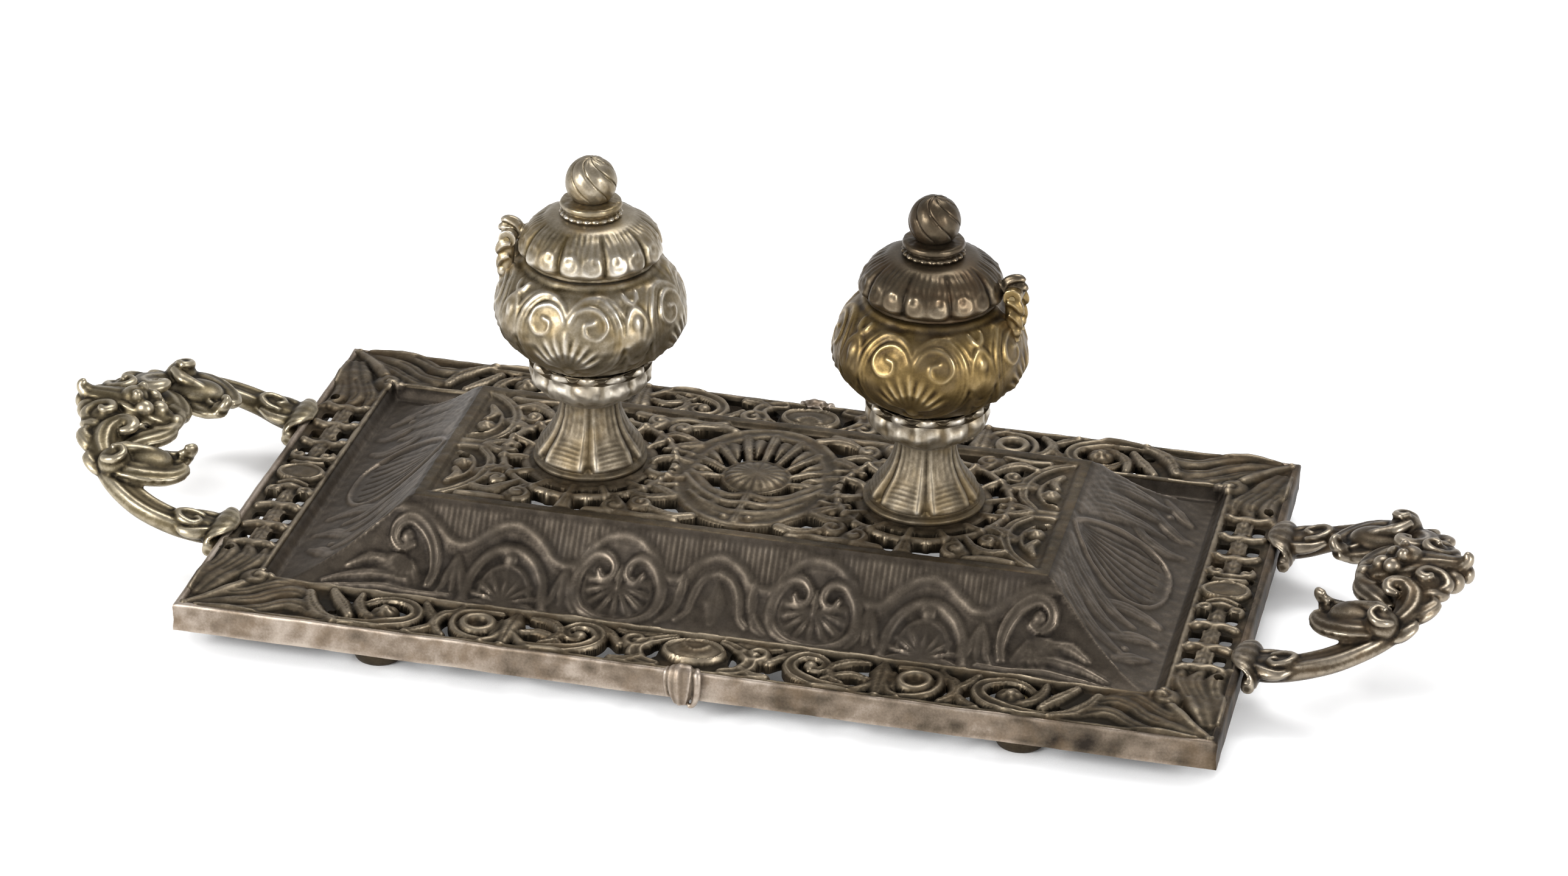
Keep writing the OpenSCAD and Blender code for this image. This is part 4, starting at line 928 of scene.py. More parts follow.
def ring(name, cx, cy, outer, inner, sides, **kw):
    """A plain closed ring between outer and inner rows of [radius, z]."""
    a = circle(sides)[:, None]
    grids = [np.stack([cx + r * np.cos(a), cy + r * np.sin(a), z + 0 * a], -1)
             for r, z in (np.transpose(outer), np.transpose(inner))]
    shell(name, *grids, wrap=True, **kw)


# ---- Skirt ----

# the skirt's section, once round: distance in from the outer face, height
SECTION = [(0, 7.2), (0, 8.4), (0.05, 10.2), (0.05, 12.6), (0, 14.2), (0.2, 14.85), (0.7, 15.2),
           (1.4, 15.25), (1.95, 14.95), (2.35, 14.4), (2.4, 12.5), (2.4, 10), (2.4, 7.6), (2, 7.2),
           (1, 7.15)]
CORNERS = ((-1, -1), (1, -1), (1, 1), (-1, 1))
ALONG, ACROSS = 200, 114  # points on a long and on a short side

path = np.vstack([
    np.linspace(start, end, n, endpoint=False)
    for start, end, n in zip(CORNERS, CORNERS[1:] + CORNERS[:1], (ALONG, ACROSS) * 2)])
inset, height = np.transpose(SECTION)
skirt = np.stack([path[:, :1] * (HALF_X - inset), path[:, 1:] * (HALF_Y - inset),
                  np.tile(height, (len(path), 1))], -1)
along = skirt[..., 0] + skirt[..., 1] * 0.7
dent = np.abs(0.10 * waves(along, skirt[..., 2] * 1.5, 21, 9) + 0.12 * waves(along, skirt[..., 2], 22, 45))
outer = 1.0 * (inset < 1.5)
facing = np.where(np.abs(path) > 0.999, np.sign(path), 0)
skirt[..., :2] -= facing[:, None] * (dent * outer)[..., None]
skirt[..., 2] += 0.08 * waves(skirt[..., 0], skirt[..., 1], 24, 30) * outer

n, m = skirt.shape[:2]
i = np.arange(n)[:, None] * m + np.arange(m)
j = np.roll(i, -1, 1)
faces = np.stack([i, (i + m) % (n * m), (j + m) % (n * m), j], -1).reshape(-1, 4)

wear_and_painted_light = 0.50 + 0.10 * outer - 1.2 * dent + 0.16 * ((height > 14.5) | (height < 7.5))
wear_and_painted_light += 0.09 * waves(skirt[..., 0] + skirt[..., 1], skirt[..., 2], 26, 30)
# painted light and shade: the front is painted lighter towards the left, where the light comes from, and
# the right end is painted dark as if in shade
painted_light_tilt = 0.045 + 0.04 * np.clip(-skirt[..., 0] / HALF_X, 0, 1) - 0.16 * ease((skirt[..., 0] - 20) / 60)
wear_and_painted_light += painted_light_tilt * (facing[:, 1:] < 0)
wear_and_painted_light -= 0.42 * (facing[:, :1] > 0) * outer
mesh_piece("skirt", skirt.reshape(-1, 3), faces, np.clip(wear_and_painted_light, 0, 1).ravel(), "stand", "tray", SKIRT,
           sharp=60)

# ---- Tabs on the skirt and bosses over the feet ----

for name, sy in (("tab_front", -1), ("tab_back", 1)):
    parts = [
        tube([[-0.6, 77, 15, 2.2, 0.9], [-0.6, 79.4, 15.6, 3.4, 1.3], [-0.6, 80.9, 13.2, 3.6, 1.5],
              [-0.6, 81.2, 9.4, 3, 1.5], [-0.6, 80.5, 6.2, 1.8, 1.2]], 22, 6, 7, 0.1, (0, 1, 0.4)),
        tube([[3, 78, 15, 0.9, 0.8], [3.6, 80.3, 15, 1.1, 0.9], [3.9, 81.2, 12, 1, 0.9],
              [3.6, 81.3, 8.6, 0.9, 0.9], [2.6, 81, 6.2, 0.7, 0.7], [1.4, 81.1, 6, 0.6, 0.6]],
             14, 6, up=(0, 1, 0.4)),
        tube([[-4.4, 78.4, 15, 0.8, 0.7], [-4.7, 80.2, 14.8, 0.8, 0.7], [-4.6, 80.7, 11.4, 0.8, 0.8],
              [-4, 80.6, 7.8, 0.7, 0.7]], 12, 6, up=(0, 1, 0.4)),
        ball(-0.6, 78.8, 15.4, 2, 1.4, 1.3)]
    if sy < 0:
        parts = [(v * [1, -1, 1], f[:, ::-1]) for v, f in parts]
    sculpt(name, parts, "stand", "tray", SKIRT, 0.3, base=0.48)

BOSS_X, BOSS_Y, SCREW_R = 87.0, 66.6, 1.53
for k, (sx, sy) in enumerate(((-1, -1), (1, -1), (-1, 1), (1, 1))):
    ring(f"boss_{k}", sx * BOSS_X, sy * BOSS_Y, [(4.7, 9.6), (4.5, 9.7), (4.4, 12.9)],
         [(SCREW_R, 9.6), (SCREW_R, 9.7), (SCREW_R, 12.9)], 48,
         body="stand", node="tray", material=BRONZE, sharp=40)

# ---- Turned and carved skins of the urns ----

STEP = 0.45  # between the rings of a turned form
FRONT = -math.pi / 2               # where an urn faces the front


class Turned:
    """Grids of a turned form; rows are [radius, z] from the bottom up.

    a is the angle, s the way up the outline, r and z its points, nr and nz its outward normal.
    """

    def __init__(self, rows, wall, sides, bore, step=STEP):
        c = curve(rows, 8)
        at = lengths(c)
        t = np.linspace(0, at[-1], max(4, math.ceil(at[-1] / step)) + 1)
        r, z = [np.interp(t, at, values) for values in c.T]
        dr, dz = np.gradient(r), np.gradient(z)
        q = np.hypot(dr, dz)
        self.a = np.tile(circle(sides)[:, None], len(t))
        self.s, self.r, self.z, self.nr, self.nz = [
            np.tile(row, (sides, 1)) for row in (t, r, z, dz / q, -dr / q)]
        self.inner_r = np.maximum(self.r - self.nr * wall, bore)
        self.inner_z = self.z - self.nz * wall


def turned_piece(name, g, disp, cx, body, node, material, base=0.45, fine=0.8):
    """A turned skin with its outer side moved out by disp."""
    top, under = [np.stack([cx + r * np.cos(g.a), r * np.sin(g.a), z], -1)
                  for r, z in ((g.r + g.nr * disp, g.z + g.nz * disp), (g.inner_r, g.inner_z))]
    shell(name, top, under, wrap=True, wear_and_painted_light=wear_of(disp, fine, 0.4, STEP, True, base),
          under_wear=0.3, body=body, node=node, material=material)


def fold(a, n, phase=0.0):
    """Angle from the nearest of n equal spokes, in units of half a pitch, -1 to 1."""
    k = (a - phase) * n / (2 * np.pi)
    return 2 * (k - np.round(k))


def pedestal(side, cx, seed, flare):
    """A bell of six bordered tongues on a thin base ring."""
    g = Turned([(13.6, 32), (15 + flare, 32), (15.6 + flare, 32.5), (15.6 + flare, 33.2),
                (14.9 + 0.6 * flare, 33.7), (14.5, 34), (14.6, 34.9), (14.2, 36), (13.2, 37.5),
                (11.8, 39.4), (10.4, 41.6), (9.3, 44), (8.5, 46.6), (8.1, 49.2), (8.1, 51)],
               1.8, 280, 2.2, 0.36)
    q = fold(g.a, 6, FRONT - 0.30)
    up = (g.z - 34) / 17
    on = ease((up + 0.01) / 0.05)
    lobe = 1.15 * arch(q, 2.4) * np.clip(1 - 0.78 * up, 0.1, 1)
    border = 0.55 * hump(np.abs(q), 0.72, 0.12) * np.clip(1 - 0.55 * up, 0, 1)
    ripple = 0.17 * np.cos(2 * np.pi * (g.s + 1.5 * q * q) / 1.35)
    ripple *= (np.abs(q) < 0.58) * ease((0.55 - up) / 0.25)
    comb = 0.06 * np.cos(5 * np.pi * q) * ease((up - 0.35) / 0.3) * ease((1 - up) / 0.1)
    notch = 0.8 * ease((np.abs(q) - 0.7) / 0.3) * hump(up, 0.05, 0.10)
    low = 0.7 * np.clip(1 - 0.7 * up, 0.15, 1)
    disp = on * (lobe + border + ripple + comb - notch - low)
    disp += 0.05 * waves(g.a * 12, g.s, seed, 4) + 0.10 * waves(g.a * 12, g.s, seed + 1, 16) * on
    turned_piece(f"{side}_pedestal_bell", g, blur(disp, 0.8, True), cx, "stand",
                 f"{side}_pedestal", GREY, 0.34)


def calyx(side, cx, seed, base):
    """A low ring of folded leaves."""
    g = Turned([(8.2, 51), (8.9, 51.05), (9.6, 51.6), (11.2, 52.6), (13.4, 53.8), (15.2, 55.2),
                (16.2, 56.8), (16.4, 58.6), (16.4, 60.2), (16.5, 61.8), (16.6, 63.2), (16.1, 63.7),
                (15.2, 63.1), (13.2, 61.2)], 2, 288, 2.2, 0.38)
    up = (g.z - 51) / 10
    q = fold(g.a, 12, FRONT + 0.2)
    between = fold(g.a, 12, FRONT + 0.2 + math.pi / 12)
    bell = ease(up / 0.2) * ease((1.36 - up) / 0.15)
    big = 1.10 * arch(q / 0.92) * hump(up, 0.74, 0.36)
    tip = 0.70 * arch(between / 0.45) * hump(up, 0.48, 0.30)
    comb = 0.12 * np.cos(2 * np.pi * (q * 1.5 + 0.15 * np.sin(6 * up))) * hump(up, 0.6, 0.32)
    vein = 0.30 * hump(q, 0, 0.07) * ease((up - 0.2) / 0.3) * ease((1 - up) / 0.2)
    lip = 0.95 * np.cos(np.pi * q) * hump(up, 1.18, 0.15)
    disp = bell * (np.maximum(big, tip) + comb - vein + lip - 0.75)
    disp += 0.20 * waves(g.a * 15, g.s * 1.3, seed + 3, 5) * bell
    disp += 0.05 * waves(g.a * 15, g.s, seed + 4, 2.2)
    turned_piece(f"{side}_calyx_leaves", g, blur(disp, 0.9, True), cx, "stand", f"{side}_calyx",
                 GREY, base)


def bowl_ornament(q, u):
    """Four heart frames over ribbed palmettes, with ovals between them."""
    gap_x = 20.25  # from the middle of a heart to the middle of an oval, round the belly
    f = Relief(np.abs(q) * gap_x, u)
    f.disc(0, -1, 15, 0.5, ry=14)
    heart = curve([(0, 7.6), (2.2, 11), (6.6, 13.2), (11.4, 12), (14.8, 6.6), (15.2, -1.4),
                   (12.2, -8.6), (6.8, -13.4), (0, -15.4)])
    for k, (w, h) in enumerate(((0.75, 0.62), (0.50, 0.50), (0.42, 0.40))):
        f.stroke(heart * [1 - 0.085 * k, 1 - 0.09 * k], w, h)
    f.stroke(heart * [1.1, 1.02] + [0.4, 0.3], 0.55, 0.35)
    f.bend([(0.8, 6), (2.6, 9), (6.2, 10.4), (10.2, 8.6), (11.4, 4.6), (8.8, 1.8), (5.6, 2.8),
            (5.2, 5.6), (7.6, 6.4)], [0.55, 0.75, 0.65, 0.55], [0.8, 0.85, 0.8, 1])
    f.fan(0, -9.6, 90, 124, 1.6, 13.6, 9, 1.45, 1.15)
    f.disc(0, -9.8, 2.2, 1.3)
    f.fan(0, -10.6, -90, 110, 1.6, 5.6, 5, 1, 1)
    f.disc(gap_x, 0.6, 4, 0.65, "ring", ry=9.6, inner=0.78)
    f.disc(gap_x, 0.6, 3, 0.5, "ring", ry=8.2, inner=0.74)
    f.fan(gap_x, -5.6, 90, 64, 1, 12, 5, 0.85)
    f.disc(gap_x, 5, 1.7, 1, ry=2.6)
    f.bend([(17.6, 14), (18.6, 11.6), (gap_x, 10.4)], [0.5, 1, 0.7], 0.6)
    f.bend([(17.2, -6), (18, -10), (19.6, -14.6)], 0.7, 0.4)
    return f.height()


def bowl(side, cx, seed, material, base):
    """A bulbous bowl, and the ledge inside it that carries the liner."""
    mid = 78.0  # height of the belly
    z = np.concatenate([[60.5, 60.5], np.linspace(60.7, 92.2, 70)])
    r = 25.8 * arch((z - mid) / np.where(z < mid, 18, 20))
    r[:2] = 2.4, 5.4
    at = lengths(np.c_[r, z])
    even = np.linspace(0, at[-1], 60)
    rows = np.c_[np.interp(even, at, r), np.interp(even, at, z)]
    rows = rows[(rows[:, 1] <= 92.1) | (rows[:, 0] <= 18.4)]
    g = Turned(np.vstack([rows, [(17.9, 92.3), (16.6, 92.3), (15.75, 91.9)]]), 1.5, 400, 2.2)
    belly = g.s[0][np.argmin(np.abs(g.z[0] - mid) + 100 * (g.r[0] < 20))]
    u = g.s - belly
    disp = bowl_ornament(fold(g.a, 4, FRONT), u) * ease((15 - u) / 1.6) * ease((u + 17.2) / 2)
    disp += 0.06 * waves(g.a * 25, u, seed + 6, 5) + 0.14 * waves(g.a * 25, u, seed + 7, 20)
    disp -= 0.30 * hump(u, 15.2, 0.8)
    disp = (blur(disp, 0.8, True) - 0.42) * ease(g.s / 5) * np.clip((g.s.max() - g.s) / 2.4, 0, 1)
    turned_piece(f"{side}_bowl_skin", g, disp, cx, "stand", f"{side}_bowl", material, base, 1)
    ring(f"{side}_bowl_ledge", cx, 0, [(14.45, 87.85), (16, 87.85), (18.6, 88.7)],
         [(14.45, 89.3), (17, 89.4), (19.4, 89.7)], 128,
         body="stand", node=f"{side}_bowl", material=material)


def lid(side, cx, seed, material):
    """A cushion of leaves that curl over its edge, and the ring that drops into the mouth."""
    turns = 0.5 * np.pi * np.array((0, 0.12, 0.24, 0.36, 0.48, 0.6, 0.72, 0.84, 0.93))
    g = Turned([(15.6, 92.65), (17, 92.6), (17.6, 92.8), (17.75, 93.2), (17.7, 93.6), (18.3, 94.3),
                (18.8, 95.2), *np.c_[8.8 + 10.1 * np.cos(turns), 95.75 + 9.3 * np.sin(turns)],
                (8.2, 105.05), (6, 105.05)], 1.35, 288, 1.4, 0.40)
    up = np.clip((g.z - 93.4) / 11.6, 0, 1)
    q = fold(g.a, 9, FRONT + 0.12)
    leafy = arch(q / 0.97, 3)
    lobe = leafy * (0.75 * hump(up, 0.18, 0.22) + 0.45 * hump(up, 0.6, 0.4))
    gap = 0.30 * hump(np.abs(q), 1, 0.12) * ease(up / 0.1) * ease((0.98 - up) / 0.2)
    rib = 0.22 * hump(q, 0, 0.06) * ease((up - 0.25) / 0.2) * ease((0.95 - up) / 0.1)
    veins = 0.12 * np.cos(2 * np.pi * (q * 3 - 0.9 * np.sign(q) * (up - 0.4)))
    veins *= ease((up - 0.22) / 0.2) * leafy
    hub = np.hypot((np.abs(q) - 0.48) / 0.36, (up - 0.36) / 0.20)
    curl = 0.36 * hump(hub, 1, 0.26) + 0.30 * hump(hub, 0, 0.35)
    edge = ease((g.s - 2.6) / 1.4)
    disp = edge * (lobe - gap - rib + veins + curl * leafy - 0.45)
    disp += 0.05 * waves(g.a * 18, g.s, seed + 9, 4) + 0.14 * waves(g.a * 18, g.s, seed + 10, 14) * edge
    crown = ease((g.z - 103.9) / 0.8)
    turned_piece(f"{side}_lid_leaves", g, blur(disp * (1 - crown), 0.8, True), cx, f"{side}_lid",
                 f"{side}_lid", material, fine=0.7)
    ring(f"{side}_lid_ring", cx, 0, [(14.9, 91.2), (14.85, 92), (14.9, 93.8)],
         [(13.5, 91.2), (13.5, 92.1), (13.5, 94)], 128,
         body=f"{side}_lid", node=f"{side}_lid", material=material)


def collar(side, cx, seed, material):
    """A bead row low down and a plate under the ball."""
    g = Turned([(6.8, 105.05), (7.7, 105.1), (8, 105.6), (8, 106.1), (7.3, 106.6), (7.1, 107),
                (7.7, 107.3), (8.3, 107.7), (8.3, 108.6), (8, 109.1), (7.2, 109.3), (6.2, 109.3),
                (5, 109.5), (3.6, 109.6)], 1.4, 176, 1.4, 0.3)
    beads = 0.60 * np.abs(np.cos(11 * g.a)) * hump(g.z, 105.9, 0.5) * (g.r > 7)
    disp = blur(beads, 0.6, True) + 0.04 * waves(g.a * 8, g.s, seed + 12, 3)
    turned_piece(f"{side}_collar_beads", g, disp, cx, f"{side}_lid", f"{side}_lid_collar", material)


def finial(side, cx, seed, material):
    """A ball with a few swirls."""
    radius, mid = 6.9, 114.55
    turn = np.radians(np.linspace(136, 4, 30))[1:-1]
    g = Turned([(4.3, 109.65), (4.7, 109.62), *np.c_[radius * np.sin(turn), mid + radius * np.cos(turn)],
                (0.35, 121.45)], 1.6, 200, 0.3, 0.26)
    angle = np.arccos(np.clip((g.z - mid) / radius, -1, 1))
    swirl = g.a - 0.9 * (angle - 1.5)
    q, q2 = [fold(swirl, 7, phase) for phase in (0.3, 0.62)]
    line = 0.16 * hump(q2, 0, 0.05) * ease((angle - 0.7) / 0.4) * ease((1.7 - angle) / 0.4)
    disp = 0.10 * (1 - q * q) - 0.30 * hump(np.abs(q), 1, 0.07) - line
    disp *= ease(angle / 0.5) * ease((2.30 - angle) / 0.3)
    disp += 0.04 * waves(g.a * 7, g.s, seed + 14, 3)
    turned_piece(f"{side}_finial_ball", g, disp, cx, f"{side}_lid", f"{side}_finial", material)


def hinge(side, bowl_metal, lid_metal):
    """Two leafy lugs on the bowl, and the lid's knuckle with its leaf; drawn for the right urn."""
    x, z = 22.3, 96.5  # the pin, from the urn's axis
    place = {"voxel": 0.28, "at_x": URN, "mirrored": side == "left"}
    for k, y in enumerate((-3.05, 3.05)):
        lug = [
            tube([(x - 0.1, y + dy, z, 2.5, 2.5) for dy in (-1.2, 0, 1.2)], 28, 2),
            tube([(x - 0.2, y, z, 1.15, 2.2), (x + 0.1, y, z - 3, 1.2, 2.1),
                  (x + 0.2, y * 1.05, z - 6.4, 1.25, 2), (x + 0.6, y * 1.15, z - 9.8, 1.2, 1.5),
                  (x + 1.6, y * 1.2, z - 12.6, 1, 0.9)], 18, up=(1, 0, 0)),
            ball(x + 1.2, y * 1.15, z - 9.6, 1.7, 1.5, 1.9),
            tube([(x - 1.2, y * 1.1, z - 1, 1.5, 1.4), (x + 0.9, y * 1.15, z - 1.6, 1.6, 1.6),
                  (x + 2.2, y * 1.2, z - 3.2, 1.2, 1.2), (x + 2.6, y * 1.2, z - 4.6, 0.6, 0.6)],
                 18, 5, 5, 0.08),
            tube([(x - 0.6, y * 1.1, z - 4.6, 1.4, 1.3), (x + 1.2, y * 1.2, z - 5.6, 1.4, 1.4),
                  (x + 2.2, y * 1.2, z - 7.4, 1, 1), (x + 2.4, y * 1.2, z - 8.8, 0.5, 0.6)],
                 18, 5, 5, 0.08)]
        sculpt(f"{side}_hinge_lug_{k}", lug, "stand", f"{side}_bowl", bowl_metal, **place)
    knuckle = [
        tube([(x, y, z, 2.45, 2.45) for y in (-1.55, 0, 1.55)], 28, 2),
        tube([(x, 0, z, 1.5, 2.2), (19.6, 0, 97.1, 1.6, 1.8), (17, 0, 99.2, 1.8, 1.2),
              (15, 0, 101, 1.2, 0.8)], 16),
        tube([(x - 2.6, 0, z + 1.4, 1.5, 1.4), (x - 1.8, 0, z + 2.9, 1.6, 1.6),
              (x - 0.2, 0, z + 3.9, 1.5, 1.4), (x + 1.4, 0, z + 4.2, 1.3, 1),
              (x + 2.6, 0, z + 3.6, 0.7, 0.6)], 18, 5, 5, 0.08),
        tube([(x - 0.4, 0, z + 0.8, 1.5, 1.4), (x + 1, 0, z + 1.9, 1.5, 1.4),
              (x + 2.4, 0, z + 1.8, 1.3, 1.1), (x + 3.2, 0, z + 1, 0.7, 0.6)], 18, 5, 5, 0.08)]
    sculpt(f"{side}_lid_knuckle", knuckle, f"{side}_lid", f"{side}_lid", lid_metal, **place)


for side, cx, seed, flare, bowl_metal, lid_metal, calyx_base, bowl_base in (
    ("left", -URN, 40, 0.0, SILVER, SILVER, 0.74, 0.44),
    ("right", URN, 60, 0.9, GOLD, DARK, 0.61, 0.40),
):
    pedestal(side, cx, seed, flare)
    calyx(side, cx, seed, calyx_base)
    bowl(side, cx, seed, bowl_metal, bowl_base)
    lid(side, cx, seed, lid_metal)
    collar(side, cx, seed, lid_metal)
    finial(side, cx, seed, lid_metal)
    hinge(side, bowl_metal, lid_metal)

# ---- Handles: reeded arms, broad hanging leaves and a palmette ----

# the middle line of the right handle's arm, from the rim to the palmette
ARM = np.array([
    (141.4, 34, 11.9), (144.4, 34.8, 12.3), (148.2, 35.7, 13.2), (154, 36.6, 15.1),
    (162.4, 35.7, 17.9), (170.2, 32.2, 20.9), (176.2, 26.8, 23.2), (179.6, 20, 25),
    (178.9, 13, 26.2), (174.6, 6.2, 26.7)])


def spray(pts, widths, heights, sides=20, flutes=0, depth=0.0, up=(0, 0, 1), n=6):
    """A tube with half widths and half heights spread evenly along its points."""
    k = np.linspace(0, 1, len(pts))
    return tube(np.c_[pts, spread(widths, k), spread(heights, k)], sides, n, flutes, depth, up)


def handle_half(sy, bulge):
    """The half of the right handle at positive y, or with sy = -1 its mirror image."""
    out = []

    def put(pts, *args, **kw):
        out.append(spray(np.array(pts) * [1, sy, 1], *args, **kw))

    # a flat core with two reeds on top
    arm = ARM + np.outer(bulge * np.sin(np.pi * np.clip((ARM[:, 0] - 141) / 44, 0, 1)), [0, 1, 0])
    put(arm, [3.4, 4, 4.4, 4.2, 3.8, 3.2, 2.6], [2.6, 2.9, 2.7, 2.5, 2.2, 2], 24)
    side = np.cross(np.gradient(arm, axis=0), [0, 0, 1])
    side /= np.linalg.norm(side, axis=1, keepdims=True)
    wide = np.interp(np.linspace(0, 1, len(arm)), [0, 0.4, 1], [2.9, 3.8, 2.4])[:, None]
    for offset in (0.62, -0.62):
        put(arm + side * offset * wide + [0, 0, 1.3], [1.2, 1.7, 1.7, 1.3, 1],
            [1.3, 1.8, 1.7, 1.4, 1.1], 16)
    # flat sheath with a scroll on it
    put([(141, 34.3, 13.4), (145, 35.2, 14), (149.5, 36, 15), (154, 36.7, 16.4), (158.2, 36.6, 17.6)],
        [4.2, 5.2, 5, 4, 1.6], [2, 2.3, 2.3, 2.1, 1], 28, 9, 0.05)
    put([(147.2, 33, 16.4), (150.8, 33.2, 17.4), (153.4, 35.6, 18.2), (152.2, 38.4, 18),
         (148.8, 39, 17), (147, 37, 16.8), (148.6, 35.4, 17.2)],
        [0.8, 1.1, 1.2, 1.1, 0.9, 0.7], [0.8, 1, 1, 0.9, 0.8], 14)
    put([(141.6, 37.4, 14.6), (145.2, 39.8, 14.8), (149.6, 41.2, 15.2), (153.2, 40.2, 16.2)],
        [1.2, 1.8, 1.6, 0.7], [1.4, 1.8, 1.5, 0.7], 16, 5, 0.08)
    put([(141.6, 31.4, 14.4), (145, 30.4, 14.6), (149.4, 30.8, 15.4), (153, 32.2, 16.6)],
        [1.2, 1.7, 1.5, 0.7], [1.4, 1.7, 1.4, 0.7], 16, 5, 0.08)
    # crest over the rim: one broad fluted leaf
    put([(143.8, 34.4, 10.8), (143.4, 34.4, 13.6), (141.6, 34.4, 15.8), (138.8, 34.4, 16.2),
         (136.8, 34.4, 15.4)],
        [9.6, 9.6, 8.8, 6.6, 2.4], [1.5, 1.6, 1.5, 1.2, 0.6], 64, 13, 0.045, (1, 0, 0.8))
    put([(142.4, 24, 11.6), (142.6, 28, 12.6), (142.8, 32, 13)], [1.7, 2, 1.6], [2.2, 2.2, 1.6], 16)
    put([(142.8, 37.6, 13), (142.6, 41, 12.6), (142.4, 44.4, 11.6)], [1.6, 2, 1.7], [1.6, 2.2, 2.2], 16)
    # broad hanging leaf, fluted, with a rolled tip
    put([(178, 25.2, 24.2), (174, 23.4, 24.2), (169.4, 21, 23.8), (164.8, 18.4, 23),
         (160.6, 15.6, 22.8), (157.6, 12.8, 23.6)],
        [3.4, 5.4, 6.4, 6.2, 4.6, 1.8], [1.8, 2.3, 2.5, 2.3, 1.9, 1.1], 40, 11, 0.07)
    put([(176.6, 24.4, 25.8), (171.6, 22.2, 26.2), (166, 19, 25.4), (160.4, 15.4, 24.6)],
        [0.9, 1.2, 1.1, 0.7], [0.9, 1.1, 1, 0.7], 14)
    put([(176.6, 28, 24.2), (171, 28.4, 24.6), (165.6, 27.4, 23.8), (160.8, 24.8, 22.8),
         (157.8, 21.6, 22.8), (157, 19.2, 23.8)],
        [2.2, 4.2, 5, 4.6, 3.2, 1.2], [1.8, 2.5, 2.6, 2.3, 1.7, 0.9], 34, 9, 0.07)
    put([(175.6, 17, 25.4), (172.4, 12.6, 25.6), (169.4, 8.4, 25.2), (167, 4.6, 25.2), (165.8, 2.4, 26)],
        [2, 4, 4.4, 3.2, 1.3], [1.6, 2.2, 2.3, 2, 1.2], 32, 9, 0.07)
    put([(159.8, 15.6, 24.2), (157.2, 14.6, 25.2), (156.6, 15.2, 26.8), (158.2, 16.4, 27.4)],
        [2.4, 2.4, 1.8, 0.9], [1.5, 1.5, 1.3, 0.9], 18, up=(1, 0.4, 0.4))
    # rolled end of the arm, with flutes that fall inward
    out.append(ball(174.6, sy * 27.6, 26.4, 4.6, 4.8, 4.2, 18))
    out.append(ball(168, sy * 21.6, 24.8, 8, 6, 3.4, 18))
    put([(177.6, 27, 27.6), (176.4, 30.4, 28.6), (173.4, 31, 29.2), (171.6, 28.4, 30),
         (173.2, 26.2, 30.8), (175.4, 27.4, 31)],
        [1, 1.3, 1.3, 1.2, 1.1, 0.9], [1, 1.2, 1.2, 1.1, 1, 0.8], 14)
    for k in range(4):
        put([(176 - 1.6 * k, 25.4 - k, 29.6 - 0.3 * k), (172 - 2 * k, 21.6 - 0.4 * k, 28.4 - 0.5 * k),
             (168 - 2.2 * k, 22.4 + 0.4 * k, 25.6 - 0.5 * k)], [1.2, 1.7, 1], [1.1, 1.5, 0.9], 16)
    # shoulder volute that rolls up towards the palmette
    put([(174.4, 29, 23.2), (178.6, 25, 25.4), (181.6, 19.6, 27), (181.6, 14.2, 28.6),
         (178.4, 10.8, 30), (175, 11.8, 30.6), (174.6, 14.8, 30.2), (177.2, 16, 29.8)],
        [1.6, 3.2, 4, 3.8, 3, 2.2, 1.6, 1], [1.4, 2.4, 2.8, 2.7, 2.2, 1.8, 1.4, 1], 30, 9, 0.06)
    # leaf tips beyond the arm
    put([(176.4, 28.6, 23), (179.6, 28.4, 24.4), (182.4, 26.8, 26.2), (183.2, 24.6, 27)],
        [1.6, 2.4, 1.9, 0.8], [1.4, 1.8, 1.5, 0.8], 18, 5, 0.07)
    put([(180.4, 22, 25.4), (184.2, 20.8, 27.2), (187, 18.2, 28.8), (186.6, 15.6, 29.6)],
        [1.8, 2.7, 2.1, 0.9], [1.5, 2, 1.7, 0.9], 20, 7, 0.07)
    # side scrolls of the palmette
    out.append(ball(184, sy * 8.6, 28.6, 5, 5, 4.2, 18))
    put([(186.8, 12.4, 29.4), (189.6, 9.2, 30.2), (187.6, 5.6, 31.4), (183.6, 5.6, 32.4),
         (181.8, 8.4, 32.8), (183.8, 10.4, 33), (185.4, 8.8, 33.2)],
        [1.3, 1.7, 1.7, 1.5, 1.3, 1.1, 0.9], [1.2, 1.6, 1.5, 1.4, 1.2, 1, 0.8], 16)
    out.append(ball(190.4, sy * 4.6, 29.2, 3.4, 3.2, 3.2))
    put([(181.4, 13, 28), (185.4, 13.8, 29.4), (188.4, 12.4, 28.8), (189.8, 10, 28)],
        [1.5, 2.2, 1.8, 0.8], [1.3, 1.8, 1.5, 0.8], 20, 7, 0.07)
    put([(170.4, 7.4, 26.2), (167.4, 5.4, 26), (166.2, 2.8, 26), (166, -0.3, 26)],
        [1.9, 2, 1.8, 1.8], [1.6, 1.6, 1.5, 1.5], 16)
    return out


